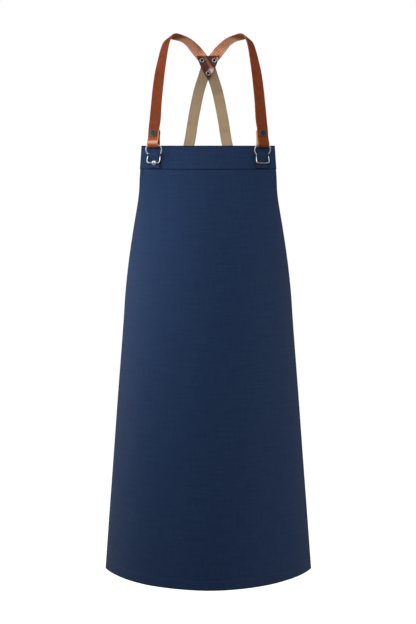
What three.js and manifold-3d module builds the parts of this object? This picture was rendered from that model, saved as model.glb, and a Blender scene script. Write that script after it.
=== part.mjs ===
// Bib apron with leather shoulder straps, double-loop wire buckles and webbing at the back.
// Millimetres, +Z up. The front faces -Y. The origin is the shoulder seat, midway between the
// undersides of the two straps where they cross the shoulders.
// Places below are given from the middle of the bib's top edge: "depth" goes backward from the
// bib's front, "rise" goes up and "drop" goes down from its top edge, "out" goes sideways.

import * as THREE from 'three';
import { mergeVertices } from 'three/addons/utils/BufferGeometryUtils.js';
import Module from 'manifold-3d';

const wasm = await Module();
wasm.setup();

// Driving dimensions
const SHOULDER_DEPTH = 104;
const SHOULDER_RISE = 213;
const GAP = 0.3;

const CLOTH_WALL = 1.2;
const PANEL_LENGTH = 875;
const PANEL_COLUMNS = 20;
const PANEL_ROWS = 20;
const BAND_HEIGHT = 43;
const BAND_WALL = 1;
const BAND_ROWS = 2;

const FITTING_OUT = 102.2;
const FITTING_DROP = 16.8;
const WIRE_RADIUS = 1.3;
const WIRE_SIDES = 8;
const WIRE_STEPS = 48;
const TOP_BAR_RISE = 18.9;
const TOP_BAR_FORWARD = 5.5;
const LOW_BAR_DROP = 15.2;
const LOW_BAR_FORWARD = 7.6;

const TAB_WIDTH = 20.4;
const TAB_WALL = 1.2;
const TAB_FOLD_RISE = 1.2;
const TAB_DROP = 24.6;
const TAB_CLOSES_AT = 9.5;
const STUD_RADIUS = 4.8;
const STUD_HEIGHT = 2.6;
const STUD_POST = 1.8;
const STUD_BACK = 4;
const STUD_BACK_ROOM = 1;

const STRAP_WIDTH = 20;
const STRAP_WALL = 2.2;
const STRAP_STEPS = 2;
const LOOP_INNER_RADIUS = 4.4;
const LOOP_CENTRE_FORWARD = 0.8;
const LOOP_CENTRE_RISE = 1.8;
const LAYER_SPACING = 4;
const SNAP_HEIGHT_ON_STRAP = 22.4;
const STRAP_TURN_UP = 31.9;
const SNAP_RADIUS = 7.6;
const SNAP_DOME = 2.6;
const SNAP_POST = 2;
const SNAP_SOCKET = 4.2;
const SNAP_FLANGE = 5.5;
const SNAP_FLANGE_WALL = 1.2;

const PATCH_DEPTH = 198;
const PATCH_RISE = 182.4;
const PATCH_HALF_WIDTH = 23.5;
const PATCH_HEIGHT = 47.7;
const PATCH_WALL = 2;
const PATCH_CORNER = 2;
const PATCH_BOW = { out: 15.4, drop: 26 };
const RIVET_OUT = 12.5;
const RIVET_DROP = 9.2;
const TIP_RIVET_DROP = 35;
const RIVET_HEAD = 5.3;
const RIVET_HEAD_WALL = 1.4;
const RIVET_HOLE = 2.1;
const RIVET_HOLE_DEPTH = 1;
const RIVET_POST = 1.5;
const RIVET_BACK = 4.5;
const RIVET_BACK_WALL = 1.3;

const WEBBING_WIDTH = 21;
const WEBBING_WALL = 1.6;
const WEBBING_STEPS = 2;

const ROUND_SIDES = 16;
const POST_SIDES = 12;

// The cloth's horizontal sections: how far the panel's edges lie out from the middle and how far
// they wrap back behind it, and how far the middle leans forward.
const PANEL_SECTIONS = [
  { drop: 0, half: 128.2, wrap: 28, lead: 0 },
  { drop: 40, half: 131.4, wrap: 34, lead: 1 },
  { drop: 100, half: 138, wrap: 52, lead: 2 },
  { drop: 160, half: 149, wrap: 72, lead: 3 },
  { drop: 220, half: 158.6, wrap: 90, lead: 4 },
  { drop: 285, half: 166.5, wrap: 105, lead: 5 },
  { drop: 350, half: 171.6, wrap: 111, lead: 6 },
  { drop: 535, half: 187.5, wrap: 124, lead: 9 },
  { drop: 705, half: 201.3, wrap: 133, lead: 11 },
  { drop: 875, half: 215.2, wrap: 140, lead: 12 },
];

// The leather strap's middle line from above the snap, over the shoulder, to the patch. Its
// outer face looks to the side by "turn" (0 is backward, 180 forward) and upward by "tilt".
const STRAP_STATIONS = [
  { out: 100.9, depth: 18, rise: 50, turn: 166, tilt: 11 },
  { out: 99.6, depth: 23, rise: 73, turn: 165, tilt: 12 },
  { out: 98, depth: 28.5, rise: 96, turn: 163, tilt: 14 },
  { out: 95.6, depth: 35, rise: 119, turn: 161, tilt: 16 },
  { out: 92.8, depth: 43, rise: 142, turn: 154, tilt: 18 },
  { out: 88.9, depth: 53, rise: 165.4, turn: 142, tilt: 23 },
  { out: 85.2, depth: 64, rise: 186, turn: 131, tilt: 31 },
  { out: 80.8, depth: 76, rise: 202.4, turn: 116, tilt: 45 },
  { out: 75.9, depth: 87.5, rise: 211.4, turn: 89, tilt: 54 },
  { out: 69.3, depth: 103, rise: 215.5, turn: 58, tilt: 63 },
  { out: 58.1, depth: 122, rise: 214.5, turn: 28, tilt: 65 },
  { out: 45, depth: 143, rise: 210.8, turn: 5, tilt: 64 },
  { out: 34.4, depth: 165, rise: 203.7, turn: -2, tilt: 57 },
  { out: 27.6, depth: 185, rise: 196.6, turn: 3, tilt: 32 },
  { out: 21.6, depth: 198.4, rise: 190.6, turn: 0, tilt: 12 },
  { out: 16.6, depth: 201.5, rise: 184.4, turn: 0, tilt: 0 },
  { out: 12.2, depth: 201.5, rise: 179, turn: 0, tilt: 0 },
  { out: 8, depth: 201.4, rise: 173.8, turn: 0, tilt: 0 },
  { out: 3.4, depth: 201.4, rise: 168.3, turn: 0, tilt: 0 },
];

// The webbing's middle line from under the patch down the back. Its sewn end lies on the inside of
// the panel, "lift" behind the cloth.
const WEBBING_STATIONS = [
  { out: 4.2, depth: 201.1, rise: 159.5, turn: 0 },
  { out: 7.4, depth: 201.1, rise: 150.5, turn: 0 },
  { out: 11.6, depth: 201.1, rise: 138.5, turn: 0 },
  { out: 15.7, depth: 201.4, rise: 126.5, turn: 0 },
  { out: 19.4, depth: 202, rise: 114.5, turn: 0 },
  { out: 25.2, depth: 203, rise: 90, turn: 0 },
  { out: 32.2, depth: 203, rise: 54, turn: 1 },
  { out: 40.4, depth: 199.5, rise: 5, turn: 5 },
  { out: 51.5, depth: 192.5, rise: -33, turn: 12 },
  { out: 67, depth: 179, rise: -76, turn: 23 },
  { out: 87, depth: 158, rise: -124, turn: 40 },
  { out: 108, depth: 132, rise: -172, turn: 60 },
  { out: 128, depth: 103, rise: -220, turn: 88 },
];
const WEBBING_ENDS = [
  { across: 0.86, drop: 258, lift: 6.5 },
  { across: 0.858, drop: 276, lift: 2.4 },
  { across: 0.855, drop: 292, lift: 1.2 },
  { across: 0.85, drop: 304, lift: 1 },
  { across: 0.845, drop: 316, lift: 1 },
];

// Wire of the buckle's right half, from the middle of the top bar down to the middle of the low bar.
const WIRE_HALF = [
  { out: 0, rise: TOP_BAR_RISE },
  { out: 10.3, rise: TOP_BAR_RISE },
  { out: 14.3, rise: 15.7 },
  { out: 16.2, rise: 9.2 },
  { out: 14.4, rise: 3.5 },
  { out: 11.6, rise: 0 },
  { out: 12.4, rise: -4.4 },
  { out: 12.9, rise: -9.8 },
  { out: 10.8, rise: -13.8 },
  { out: 6.8, rise: -LOW_BAR_DROP },
  { out: 0, rise: -LOW_BAR_DROP },
];

const RADIANS = Math.PI / 180;
const SIDES = { left: -1, right: 1 };

const finishes = {
  cloth: { color: 0x2a3b5a, roughness: 0.85, metalness: 0 },
  leather: { color: 0x86452f, roughness: 0.5, metalness: 0 },
  patchLeather: { color: 0x5a3628, roughness: 0.35, metalness: 0 },
  webbing: { color: 0x9c896d, roughness: 0.9, metalness: 0 },
  nickel: { color: 0xb9b8b0, roughness: 0.25, metalness: 1 },
  gunmetal: { color: 0x473c36, roughness: 0.4, metalness: 1 },
};

// Meshes and solids

function piece(name, geometry, finish) {
  const mesh = new THREE.Mesh(geometry, new THREE.MeshStandardMaterial(finishes[finish]));
  mesh.name = name;
  return mesh;
}

function signedVolume(position, index) {
  const corners = [new THREE.Vector3(), new THREE.Vector3(), new THREE.Vector3()];
  let volume = 0;
  for (let i = 0; i < index.length; i += 3) {
    corners.forEach((corner, k) => corner.fromArray(position, 3 * index[i + k]));
    volume += corners[0].dot(corners[1].clone().cross(corners[2])) / 6;
  }
  return volume;
}

// An indexed body from flat positions and triangles, turned so that its faces point outward.
function body(position, index) {
  const outward = signedVolume(position, index) > 0 ? index : Array.from(index).reverse();
  const geometry = new THREE.BufferGeometry();
  geometry.setAttribute('position', new THREE.BufferAttribute(new Float32Array(position), 3));
  geometry.setIndex(Array.from(outward));
  geometry.computeVertexNormals();
  return geometry;
}

// A library shape with its shared corners joined and its collapsed triangles left out.
function welded(shape) {
  shape.deleteAttribute('normal');
  shape.deleteAttribute('uv');
  const joined = mergeVertices(shape, 1e-4);
  const all = joined.index.array;
  const kept = [];
  for (let i = 0; i < all.length; i += 3) {
    const [a, b, c] = all.slice(i, i + 3);
    if (a !== b && b !== c && c !== a) {
      kept.push(a, b, c);
    }
  }
  return body(joined.attributes.position.array, kept);
}

function solidOf(geometry) {
  const mesh = new wasm.Mesh({
    numProp: 3,
    vertProperties: new Float32Array(geometry.attributes.position.array),
    triVerts: new Uint32Array(geometry.index.array),
  });
  return new wasm.Manifold(mesh);
}

function geometryOf(solid) {
  const mesh = solid.getMesh();
  return body(mesh.vertProperties, mesh.triVerts);
}

function cut(geometry, tools) {
  return geometryOf(tools.reduce((left, tool) => left.subtract(solidOf(tool)), solidOf(geometry)));
}

// A wall or tube through a row of rings with the same number of points. Point i of a ring faces
// point n-1-i across the wall, so an open end is closed by a strip between them.
function loft(rings, endless = false) {
  const size = rings[0].length;
  const position = rings.flat().flatMap((point) => point.toArray());
  const index = [];
  const quad = (a, b, c, d) => index.push(a, b, c, a, c, d);
  const spans = endless ? rings.length : rings.length - 1;
  for (let r = 0; r < spans; r += 1) {
    const near = r * size;
    const far = ((r + 1) % rings.length) * size;
    for (let i = 0; i < size; i += 1) {
      const next = (i + 1) % size;
      // Both faces of a twisted strip fold along the same diagonal, so its thickness stays even.
      if (i < size / 2) quad(near + i, near + next, far + next, far + i);
      else quad(near + next, far + next, far + i, near + i);
    }
  }
  if (!endless) {
    const last = (rings.length - 1) * size;
    for (let i = 0; i < size / 2 - 1; i += 1) {
      const facing = size - 1 - i;
      quad(i, facing, facing - 1, i + 1);
      quad(last + i, last + i + 1, last + facing - 1, last + facing);
    }
  }
  return body(position, index);
}

// A turned piece along Y from a profile of [radius, y] that starts and ends on the axis.
function turned(profile, sides = ROUND_SIDES) {
  const points = profile.map(([radius, y]) => new THREE.Vector2(radius, y));
  return welded(new THREE.LatheGeometry(points, sides));
}

function drill(radius, front, back) {
  return turned([[0, front], [radius, front], [radius, back], [0, back]], POST_SIDES);
}

// A named lookup that runs smoothly through a table's rows.
function smoothTable(rows, along, columns) {
  const places = rows.map((row) => row[along]);
  const values = rows.flatMap((row) => columns.map((column) => row[column]));
  const spline = new THREE.CubicInterpolant(places, values, columns.length);
  return (at) => {
    const found = Array.from(spline.evaluate(at));
    return Object.fromEntries(columns.map((column, k) => [column, found[k]]));
  };
}

function evenly(from, to, steps) {
  return Array.from({ length: steps + 1 }, (_, k) => from + ((to - from) * k) / steps);
}

// The cloth's curved front

const sectionAt = smoothTable(PANEL_SECTIONS, 'drop', ['half', 'wrap', 'lead']);

function clothArc(drop) {
  const { half, wrap, lead } = sectionAt(drop);
  const radius = (half * half + wrap * wrap) / (2 * wrap);
  return { radius, lead, reach: Math.asin(half / radius) };
}

// A point on the cloth, "across" from -1 at the left edge to 1 at the right, "proud" of its front.
function clothPoint(across, drop, proud = 0) {
  const { radius, lead, reach } = clothArc(drop);
  const angle = across * reach;
  const depth = radius - lead - (radius + proud) * Math.cos(angle);
  return new THREE.Vector3((radius + proud) * Math.sin(angle), depth, -drop);
}

function clothTurn(across, drop) {
  return 180 - Math.abs(across) * (clothArc(drop).reach / RADIANS);
}

const columns = evenly(-1, 1, PANEL_COLUMNS);
const bandTop = BAND_WALL + GAP;
const bandDrops = evenly(bandTop, BAND_HEIGHT, BAND_ROWS);

function panelWall() {
  const drops = [bandTop + GAP, ...bandDrops.slice(1)];
  drops.push(...evenly(BAND_HEIGHT, PANEL_LENGTH, PANEL_ROWS).slice(1));
  const rings = drops.map((drop) => [
    ...columns.map((across) => clothPoint(across, drop)),
    ...columns.map((across) => clothPoint(across, drop, -CLOTH_WALL)).reverse(),
  ]);
  return loft(rings);
}

// The band's section is a U over the panel's top edge: its outer line, then its inner line back.
const bandFront = GAP + BAND_WALL;
const bandBack = -CLOTH_WALL - GAP - BAND_WALL;

function bandWall() {
  const upward = bandDrops.slice(1).reverse();
  const downward = bandDrops.slice(1);
  const outer = [
    ...upward.map((drop) => ({ proud: bandFront, drop })),
    { proud: bandFront, drop: 0 },
    { proud: bandBack, drop: 0 },
    ...downward.map((drop) => ({ proud: bandBack, drop })),
  ];
  const inner = [
    ...upward.map((drop) => ({ proud: GAP, drop })),
    { proud: GAP, drop: bandTop },
    { proud: -CLOTH_WALL - GAP, drop: bandTop },
    ...downward.map((drop) => ({ proud: -CLOTH_WALL - GAP, drop })),
  ];
  const section = [...outer, ...inner.reverse()];
  return loft(columns.map((across) => section.map((row) => clothPoint(across, row.drop, row.proud))));
}

// Straps and webbing

function facing(side, turn, tilt = 0) {
  const level = Math.cos(tilt * RADIANS);
  const x = side * Math.sin(turn * RADIANS) * level;
  return new THREE.Vector3(x, Math.cos(turn * RADIANS) * level, Math.sin(tilt * RADIANS));
}

// A flat band along stations, each with its middle and the direction across the band.
function ribbon(stations, width, wall, stepsEach) {
  const line = new THREE.CatmullRomCurve3(stations.map((station) => station.middle), false, 'centripetal');
  const spans = stations.length - 1;
  const rings = evenly(0, spans, spans * stepsEach).map((place) => {
    const first = Math.min(Math.floor(place), spans - 1);
    const along = line.getTangent(place / spans);
    const across = stations[first].across.clone().lerp(stations[first + 1].across, place - first);
    across.addScaledVector(along, -across.dot(along)).normalize();
    const outward = across.clone().cross(along);
    const middle = line.getPoint(place / spans);
    const corner = (a, b) => middle.clone().addScaledVector(across, (a * width) / 2)
      .addScaledVector(outward, (b * wall) / 2);
    return [corner(-1, 1), corner(1, 1), corner(1, -1), corner(-1, -1)];
  });
  return loft(rings);
}

// Stations from a table of places and facings. The direction across follows from the line itself.
function stationsFrom(middles, facings) {
  const line = new THREE.CatmullRomCurve3(middles, false, 'centripetal');
  return middles.map((middle, k) => {
    const along = line.getTangent(k / (middles.length - 1));
    return { middle, across: along.cross(facings[k]).normalize() };
  });
}

// Where the fittings sit: on the band's front, turned with it.
const fittingAcross = (() => {
  const { radius, reach } = clothArc(FITTING_DROP);
  return Math.asin(FITTING_OUT / radius) / reach;
})();
const fittingTurn = fittingAcross * clothArc(FITTING_DROP).reach;

function fittingGroup(side) {
  const group = new THREE.Group();
  group.position.copy(clothPoint(side * fittingAcross, FITTING_DROP, bandFront));
  group.rotation.z = side * fittingTurn;
  group.updateMatrix();
  return group;
}

// The lower end of a strap: its free end, the loop round the buckle's top bar, and the front layer.
// "n" goes forward from the bar and "t" up along the strap.
function loopPlaces() {
  const half = LAYER_SPACING / 2;
  const middleRadius = LOOP_INNER_RADIUS + STRAP_WALL / 2;
  const bend = evenly(180, 360, 6).map((angle) => ({
    n: LOOP_CENTRE_FORWARD + middleRadius * Math.cos(angle * RADIANS),
    t: LOOP_CENTRE_RISE + middleRadius * Math.sin(angle * RADIANS),
  }));
  const low = SNAP_HEIGHT_ON_STRAP - SNAP_RADIUS - 1;
  return [
    { n: -half, t: STRAP_TURN_UP },
    { n: -half, t: SNAP_HEIGHT_ON_STRAP },
    { n: -half, t: low },
    ...bend,
    { n: half, t: low },
    { n: half, t: SNAP_HEIGHT_ON_STRAP },
    { n: half, t: STRAP_TURN_UP },
  ];
}

// The strap's own frame at the buckle's top bar.
function strapFoot(side) {
  const group = fittingGroup(side);
  const bar = new THREE.Vector3(0, -TOP_BAR_FORWARD, TOP_BAR_RISE).applyMatrix4(group.matrix);
  const first = STRAP_STATIONS[0];
  const above = new THREE.Vector3(side * first.out, first.depth, first.rise);
  const forward = new THREE.Vector3(0, -1, 0).applyEuler(group.rotation);
  const up = above.sub(bar).addScaledVector(forward, -LAYER_SPACING / 2).normalize();
  const across = up.clone().cross(forward).normalize();
  const outward = across.clone().cross(up);
  return { bar, up, across, outward };
}

function strapWall(side) {
  const foot = strapFoot(side);
  const loop = loopPlaces().map(({ n, t }) => ({
    middle: foot.bar.clone().addScaledVector(foot.outward, n).addScaledVector(foot.up, t),
    across: foot.across,
  }));
  const middles = STRAP_STATIONS.map(({ out, depth, rise }) => new THREE.Vector3(side * out, depth, rise));
  const facings = STRAP_STATIONS.map(({ turn, tilt }) => facing(side, turn, tilt));
  return ribbon([...loop, ...stationsFrom(middles, facings)], STRAP_WIDTH, STRAP_WALL, STRAP_STEPS);
}

// The snap stands on the strap's front layer with its axis through both layers.
function placeSnap(side, object) {
  const foot = strapFoot(side);
  object.position.copy(foot.bar).addScaledVector(foot.up, SNAP_HEIGHT_ON_STRAP);
  const axes = new THREE.Matrix4().makeBasis(foot.across, foot.outward.clone().negate(), foot.up);
  object.quaternion.setFromRotationMatrix(axes);
  object.updateMatrix();
  return object;
}

const layerFace = (LAYER_SPACING + STRAP_WALL) / 2;
const layerInside = (LAYER_SPACING - STRAP_WALL) / 2;

function snapBody() {
  const base = -layerFace - GAP;
  const dome = evenly(90, 15, 5).map((angle) => [
    SNAP_RADIUS * Math.cos(angle * RADIANS),
    base - 0.6 - (SNAP_DOME - 0.6) * Math.sin(angle * RADIANS),
  ]);
  dome[0][0] = 0;
  return turned([
    ...dome,
    [SNAP_RADIUS, base - 0.6],
    [SNAP_RADIUS - 0.3, base],
    [SNAP_POST, base],
    [SNAP_POST, -layerInside + GAP],
    [SNAP_SOCKET, -layerInside + GAP],
    [SNAP_SOCKET, layerInside - GAP],
    [SNAP_POST, layerInside - GAP],
    [SNAP_POST, layerFace + GAP],
    [SNAP_FLANGE, layerFace + GAP],
    [SNAP_FLANGE - 0.5, layerFace + GAP + SNAP_FLANGE_WALL],
    [0, layerFace + GAP + SNAP_FLANGE_WALL],
  ]);
}

function webbingWall(side, depthStep) {
  const behind = CLOTH_WALL + WEBBING_WALL / 2;
  const fade = (rise) => THREE.MathUtils.smoothstep(rise, 60, 130);
  const middles = [
    ...WEBBING_STATIONS.map(({ out, depth, rise }) => (
      new THREE.Vector3(side * out, depth + depthStep * fade(rise), rise))),
    ...WEBBING_ENDS.map(({ across, drop, lift }) => clothPoint(side * across, drop, -behind - lift)),
  ];
  const facings = [
    ...WEBBING_STATIONS.map(({ turn }) => facing(side, turn)),
    ...WEBBING_ENDS.map(({ across, drop }) => facing(side, clothTurn(across, drop))),
  ];
  return ribbon(stationsFrom(middles, facings), WEBBING_WIDTH, WEBBING_WALL, WEBBING_STEPS);
}

// Buckle, tab and stud, in the fitting's own frame: Y goes back into the band, Z goes up.

const barBack = -GAP - 0.05 - TAB_WALL - GAP - WIRE_RADIUS;

function wireForward(rise) {
  const top = barBack + (-TOP_BAR_FORWARD - barBack) * (rise / TOP_BAR_RISE);
  const low = barBack + (-LOW_BAR_FORWARD - barBack) * (-rise / LOW_BAR_DROP);
  return rise > 0 ? top : low;
}

function wireRing(middle, along, reference) {
  const first = reference.clone().addScaledVector(along, -reference.dot(along)).normalize();
  const second = along.clone().cross(first);
  return Array.from({ length: WIRE_SIDES }, (_, k) => {
    const angle = (2 * Math.PI * (k + 0.5)) / WIRE_SIDES;
    return middle.clone().addScaledVector(first, WIRE_RADIUS * Math.cos(angle))
      .addScaledVector(second, WIRE_RADIUS * Math.sin(angle));
  });
}

function buckleBody() {
  const half = WIRE_HALF.map(({ out, rise }) => new THREE.Vector3(out, wireForward(rise), rise));
  const otherHalf = half.slice(1, -1).reverse().map((p) => new THREE.Vector3(-p.x, p.y, p.z));
  const line = new THREE.CatmullRomCurve3([...half, ...otherHalf], true, 'centripetal');
  const forward = new THREE.Vector3(0, 1, 0);
  const loop = loft(evenly(0, 1, WIRE_STEPS).slice(0, -1).map((place) => (
    wireRing(line.getPoint(place), line.getTangent(place), forward))), true);
  const reach = WIRE_HALF.find(({ rise }) => rise === 0).out;
  const bar = loft([-reach, reach].map((x) => (
    wireRing(new THREE.Vector3(x, barBack, 0), new THREE.Vector3(1, 0, 0), forward))));
  return geometryOf(solidOf(loop).add(solidOf(bar)));
}

// The tab is a strip folded over the buckle's centre bar, its two layers drawn together below it.
const tabBack = -GAP - 0.05;
const tabFront = tabBack - TAB_WALL - GAP - TAB_WALL;

function tabWall() {
  const fold = (radius) => evenly(0, 180, 6).map((angle) => ({
    y: barBack + radius * Math.cos(angle * RADIANS),
    z: TAB_FOLD_RISE + radius * Math.sin(angle * RADIANS),
  }));
  const inside = WIRE_RADIUS + GAP;
  const bulge = inside + 0.2;
  const outer = [
    { y: tabBack, z: -TAB_DROP },
    ...fold(inside + TAB_WALL),
    { y: barBack - bulge - TAB_WALL, z: -WIRE_RADIUS },
    { y: tabFront, z: -TAB_CLOSES_AT },
    { y: tabFront, z: -TAB_DROP },
  ];
  const inner = [
    { y: tabBack - TAB_WALL, z: -TAB_DROP },
    ...fold(inside),
    { y: barBack - bulge, z: -WIRE_RADIUS },
    { y: tabFront + TAB_WALL, z: -TAB_CLOSES_AT },
    { y: tabFront + TAB_WALL, z: -TAB_DROP },
  ];
  const section = [...outer, ...inner.reverse()];
  return loft([-TAB_WIDTH / 2, TAB_WIDTH / 2].map((x) => (
    section.map(({ y, z }) => new THREE.Vector3(x, y, z)))));
}

// The cloth curves back a little below the buckle, so the stud's back cap sits further behind.
const stackBack = bandFront - bandBack + STUD_BACK_ROOM;

function studBody() {
  const base = tabFront - GAP;
  const dome = evenly(90, 0, 6).map((angle) => [
    STUD_RADIUS * Math.cos(angle * RADIANS),
    base - STUD_HEIGHT * Math.sin(angle * RADIANS),
  ]);
  dome[0][0] = 0;
  return turned([
    ...dome,
    [STUD_POST, base],
    [STUD_POST, stackBack + GAP],
    [STUD_BACK, stackBack + GAP],
    [STUD_BACK - 0.4, stackBack + GAP + 1],
    [0, stackBack + GAP + 1],
  ]);
}

function studDrill() {
  const tool = drill(STUD_POST + GAP, tabFront - 1, stackBack + 1);
  return tool.translate(0, 0, -LOW_BAR_DROP);
}

// The patch and its rivets, from the middle of the patch's top edge, Y going back.

const rivets = {
  left: { x: -RIVET_OUT, z: -RIVET_DROP, stack: PATCH_WALL + GAP + STRAP_WALL },
  right: { x: RIVET_OUT, z: -RIVET_DROP, stack: PATCH_WALL + GAP + STRAP_WALL },
  tip: { x: 0, z: -TIP_RIVET_DROP, stack: PATCH_WALL + 2 * (GAP + WEBBING_WALL) },
};

function patchWall() {
  const edge = PATCH_HALF_WIDTH;
  const corner = PATCH_CORNER;
  const outline = new THREE.Shape();
  outline.moveTo(-edge + corner, 0);
  outline.lineTo(edge - corner, 0);
  outline.quadraticCurveTo(edge, 0, edge - corner / 2, -corner);
  outline.quadraticCurveTo(PATCH_BOW.out, -PATCH_BOW.drop, corner / 2, -PATCH_HEIGHT + corner / 2);
  outline.quadraticCurveTo(0, -PATCH_HEIGHT - corner / 2, -corner / 2, -PATCH_HEIGHT + corner / 2);
  outline.quadraticCurveTo(-PATCH_BOW.out, -PATCH_BOW.drop, -edge + corner / 2, -corner);
  outline.quadraticCurveTo(-edge, 0, -edge + corner, 0);
  const plate = new THREE.ExtrudeGeometry(
    outline, { depth: PATCH_WALL, bevelEnabled: false, curveSegments: 8 });
  plate.rotateX(Math.PI / 2);
  plate.translate(0, PATCH_WALL, 0);
  const holes = Object.values(rivets).map(({ x, z }) => (
    drill(RIVET_POST + GAP, -1, PATCH_WALL + 1).translate(x, 0, z)));
  return cut(welded(plate), holes);
}

function rivetBody(stack) {
  const head = -GAP - RIVET_HEAD_WALL;
  return turned([
    [0, head + RIVET_HOLE_DEPTH],
    [RIVET_HOLE, head + RIVET_HOLE_DEPTH],
    [RIVET_HOLE, head + 0.2],
    [RIVET_HOLE + 0.5, head],
    [RIVET_HEAD - 1, head],
    [RIVET_HEAD, head + 0.6],
    [RIVET_HEAD, -GAP],
    [RIVET_POST, -GAP],
    [RIVET_POST, stack + GAP],
    [RIVET_BACK, stack + GAP],
    [RIVET_BACK - 0.2, stack + GAP + 0.5],
    [RIVET_BACK - 1.8, stack + GAP + RIVET_BACK_WALL],
    [0, stack + GAP + RIVET_BACK_WALL],
  ]);
}

// Assembly

const apron = new THREE.Group();
apron.position.set(0, -SHOULDER_DEPTH, -SHOULDER_RISE);

const patch = new THREE.Group();
patch.position.set(0, PATCH_DEPTH, PATCH_RISE);
patch.updateMatrix();
apron.add(patch);

function rivetDrill({ x, z, stack }) {
  return drill(RIVET_POST + GAP, -1, stack + 1).translate(x, 0, z).applyMatrix4(patch.matrix);
}

const studDrills = Object.values(SIDES).map((side) => studDrill().applyMatrix4(fittingGroup(side).matrix));
apron.add(piece('apron_panel', cut(panelWall(), studDrills), 'cloth'));
apron.add(piece('top_band', cut(bandWall(), studDrills), 'cloth'));

// Leather straps end square under the patch, trimmed where the two would meet.
function strapTrim(side) {
  const reach = 40;
  const trim = welded(new THREE.BoxGeometry(reach, reach, reach));
  return trim.translate(-side * (reach / 2 - GAP), PATCH_DEPTH, PATCH_RISE);
}

for (const [name, side] of Object.entries(SIDES)) {
  const fitting = fittingGroup(side);
  apron.add(fitting);
  fitting.add(piece(`buckle_${name}`, buckleBody(), 'nickel'));
  fitting.add(piece(`tab_${name}`, cut(tabWall(), [studDrill()]), 'cloth'));
  const stud = piece(`tab_stud_${name}`, studBody(), 'nickel');
  stud.position.z = -LOW_BAR_DROP;
  fitting.add(stud);

  const snapHole = drill(SNAP_POST + GAP, -layerFace - 1, layerFace + 1);
  const snap = placeSnap(side, piece(`strap_snap_${name}`, snapBody(), 'gunmetal'));
  const strapHoles = [snapHole.applyMatrix4(snap.matrix), rivetDrill(rivets[name]), strapTrim(side)];
  apron.add(piece(`leather_strap_${name}`, cut(strapWall(side), strapHoles), 'leather'));
  apron.add(snap);

  const layer = name === 'left' ? 0 : WEBBING_WALL + GAP;
  const webbing = cut(webbingWall(side, layer), [rivetDrill(rivets.tip)]);
  apron.add(piece(`webbing_${name}`, webbing, 'webbing'));
}

patch.add(piece('back_patch', patchWall(), 'patchLeather'));
for (const [name, { x, z, stack }] of Object.entries(rivets)) {
  const rivet = piece(`patch_rivet_${name}`, rivetBody(stack), 'gunmetal');
  rivet.position.set(x, 0, z);
  patch.add(rivet);
}

const root = new THREE.Group();
root.add(apron);

export default root;
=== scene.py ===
# %% [markdown]
# # A bib apron, dressed in Blender
# The apron is a long sheet of navy twill, curved as it is when worn. A folded band closes the top
# of its bib. Wire buckles hang on cloth tabs on the band, and leather straps rise from them over
# the shoulders to a small riveted patch. Khaki webbing runs from the patch down to the cloth's
# sides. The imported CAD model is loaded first, so every piece lands in the same frame, in metres.

# %% Load the frame
from functools import lru_cache
from math import asin, cos, degrees, exp, pi, radians, sin, sqrt

import bmesh
import bpy
from mathutils import Matrix, Vector


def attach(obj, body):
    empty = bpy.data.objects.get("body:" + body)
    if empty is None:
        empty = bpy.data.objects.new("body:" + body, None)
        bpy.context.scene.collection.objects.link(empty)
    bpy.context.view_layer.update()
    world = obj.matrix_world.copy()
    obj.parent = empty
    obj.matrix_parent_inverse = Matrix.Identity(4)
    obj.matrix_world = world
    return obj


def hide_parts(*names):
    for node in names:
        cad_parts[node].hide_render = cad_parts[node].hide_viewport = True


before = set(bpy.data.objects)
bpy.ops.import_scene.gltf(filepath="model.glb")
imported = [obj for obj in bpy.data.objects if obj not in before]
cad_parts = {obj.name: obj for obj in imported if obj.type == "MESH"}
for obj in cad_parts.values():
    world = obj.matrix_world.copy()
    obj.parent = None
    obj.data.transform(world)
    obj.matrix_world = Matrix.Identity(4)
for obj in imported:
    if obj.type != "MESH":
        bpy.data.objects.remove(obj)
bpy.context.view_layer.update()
print("nodes in the frame:", len(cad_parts))

# %% [markdown]
# ## The camera
# The bib's top edge is dead straight in the picture while the level hem sags into a curve. That
# happens when the lens is level with the bib's top and looks a little downward, so the camera
# stands there. A long lens from two and a half metres keeps the straps' taper small.

# %% Place the camera
CAMERA_PLACE = (-0.0003, -2.604, -0.213)
CAMERA_PITCH = radians(7.272)
FOCAL_LENGTH = 75.05


def into_scene(name, data):
    thing = bpy.data.objects.new(name, data)
    bpy.context.scene.collection.objects.link(thing)
    return thing


lens = bpy.data.cameras.new("camera")
lens.lens = FOCAL_LENGTH
lens.sensor_width = 36.0
camera = into_scene("camera", lens)
camera.location = CAMERA_PLACE
camera.rotation_euler = (pi / 2 - CAMERA_PITCH, 0.0, 0.0)
bpy.context.scene.camera = camera
print("camera at", CAMERA_PLACE, "pitched down", round(degrees(CAMERA_PITCH), 2), "degrees")

# %% [markdown]
# ## Places on the apron
# A tailor measures from the bib's top edge: out to the side, back from the front, up or down. The
# tables below are in those millimetres. They follow the CAD source, and differ from it by a few
# millimetres at most where a piece was fitted closer to the picture. One function turns such a
# place into the frame's metres, where the origin is the shoulder seat.

# %% Turn a tailor's place into metres
SHOULDER_DEPTH = 104.0
SHOULDER_RISE = 213.0
MM = 0.001


def in_frame(place):
    return Vector((place.x, place.y - SHOULDER_DEPTH, place.z - SHOULDER_RISE)) * MM


def spread(start, end, steps):
    return [start + (end - start) * k / steps for k in range(steps + 1)]


def arc(centre, radius, start, end, steps):
    return [(centre[0] + radius * cos(radians(a)), centre[1] + radius * sin(radians(a)))
            for a in spread(start, end, steps)]


def bump_at(value, centre, width):
    return exp(-(((value - centre) / width) ** 2))


def ease(value, low, high):
    t = min(max((value - low) / (high - low), 0.0), 1.0)
    return t * t * (3 - 2 * t)


print("the bib's top edge is at height", round(in_frame(Vector()).z, 3), "m")

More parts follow.
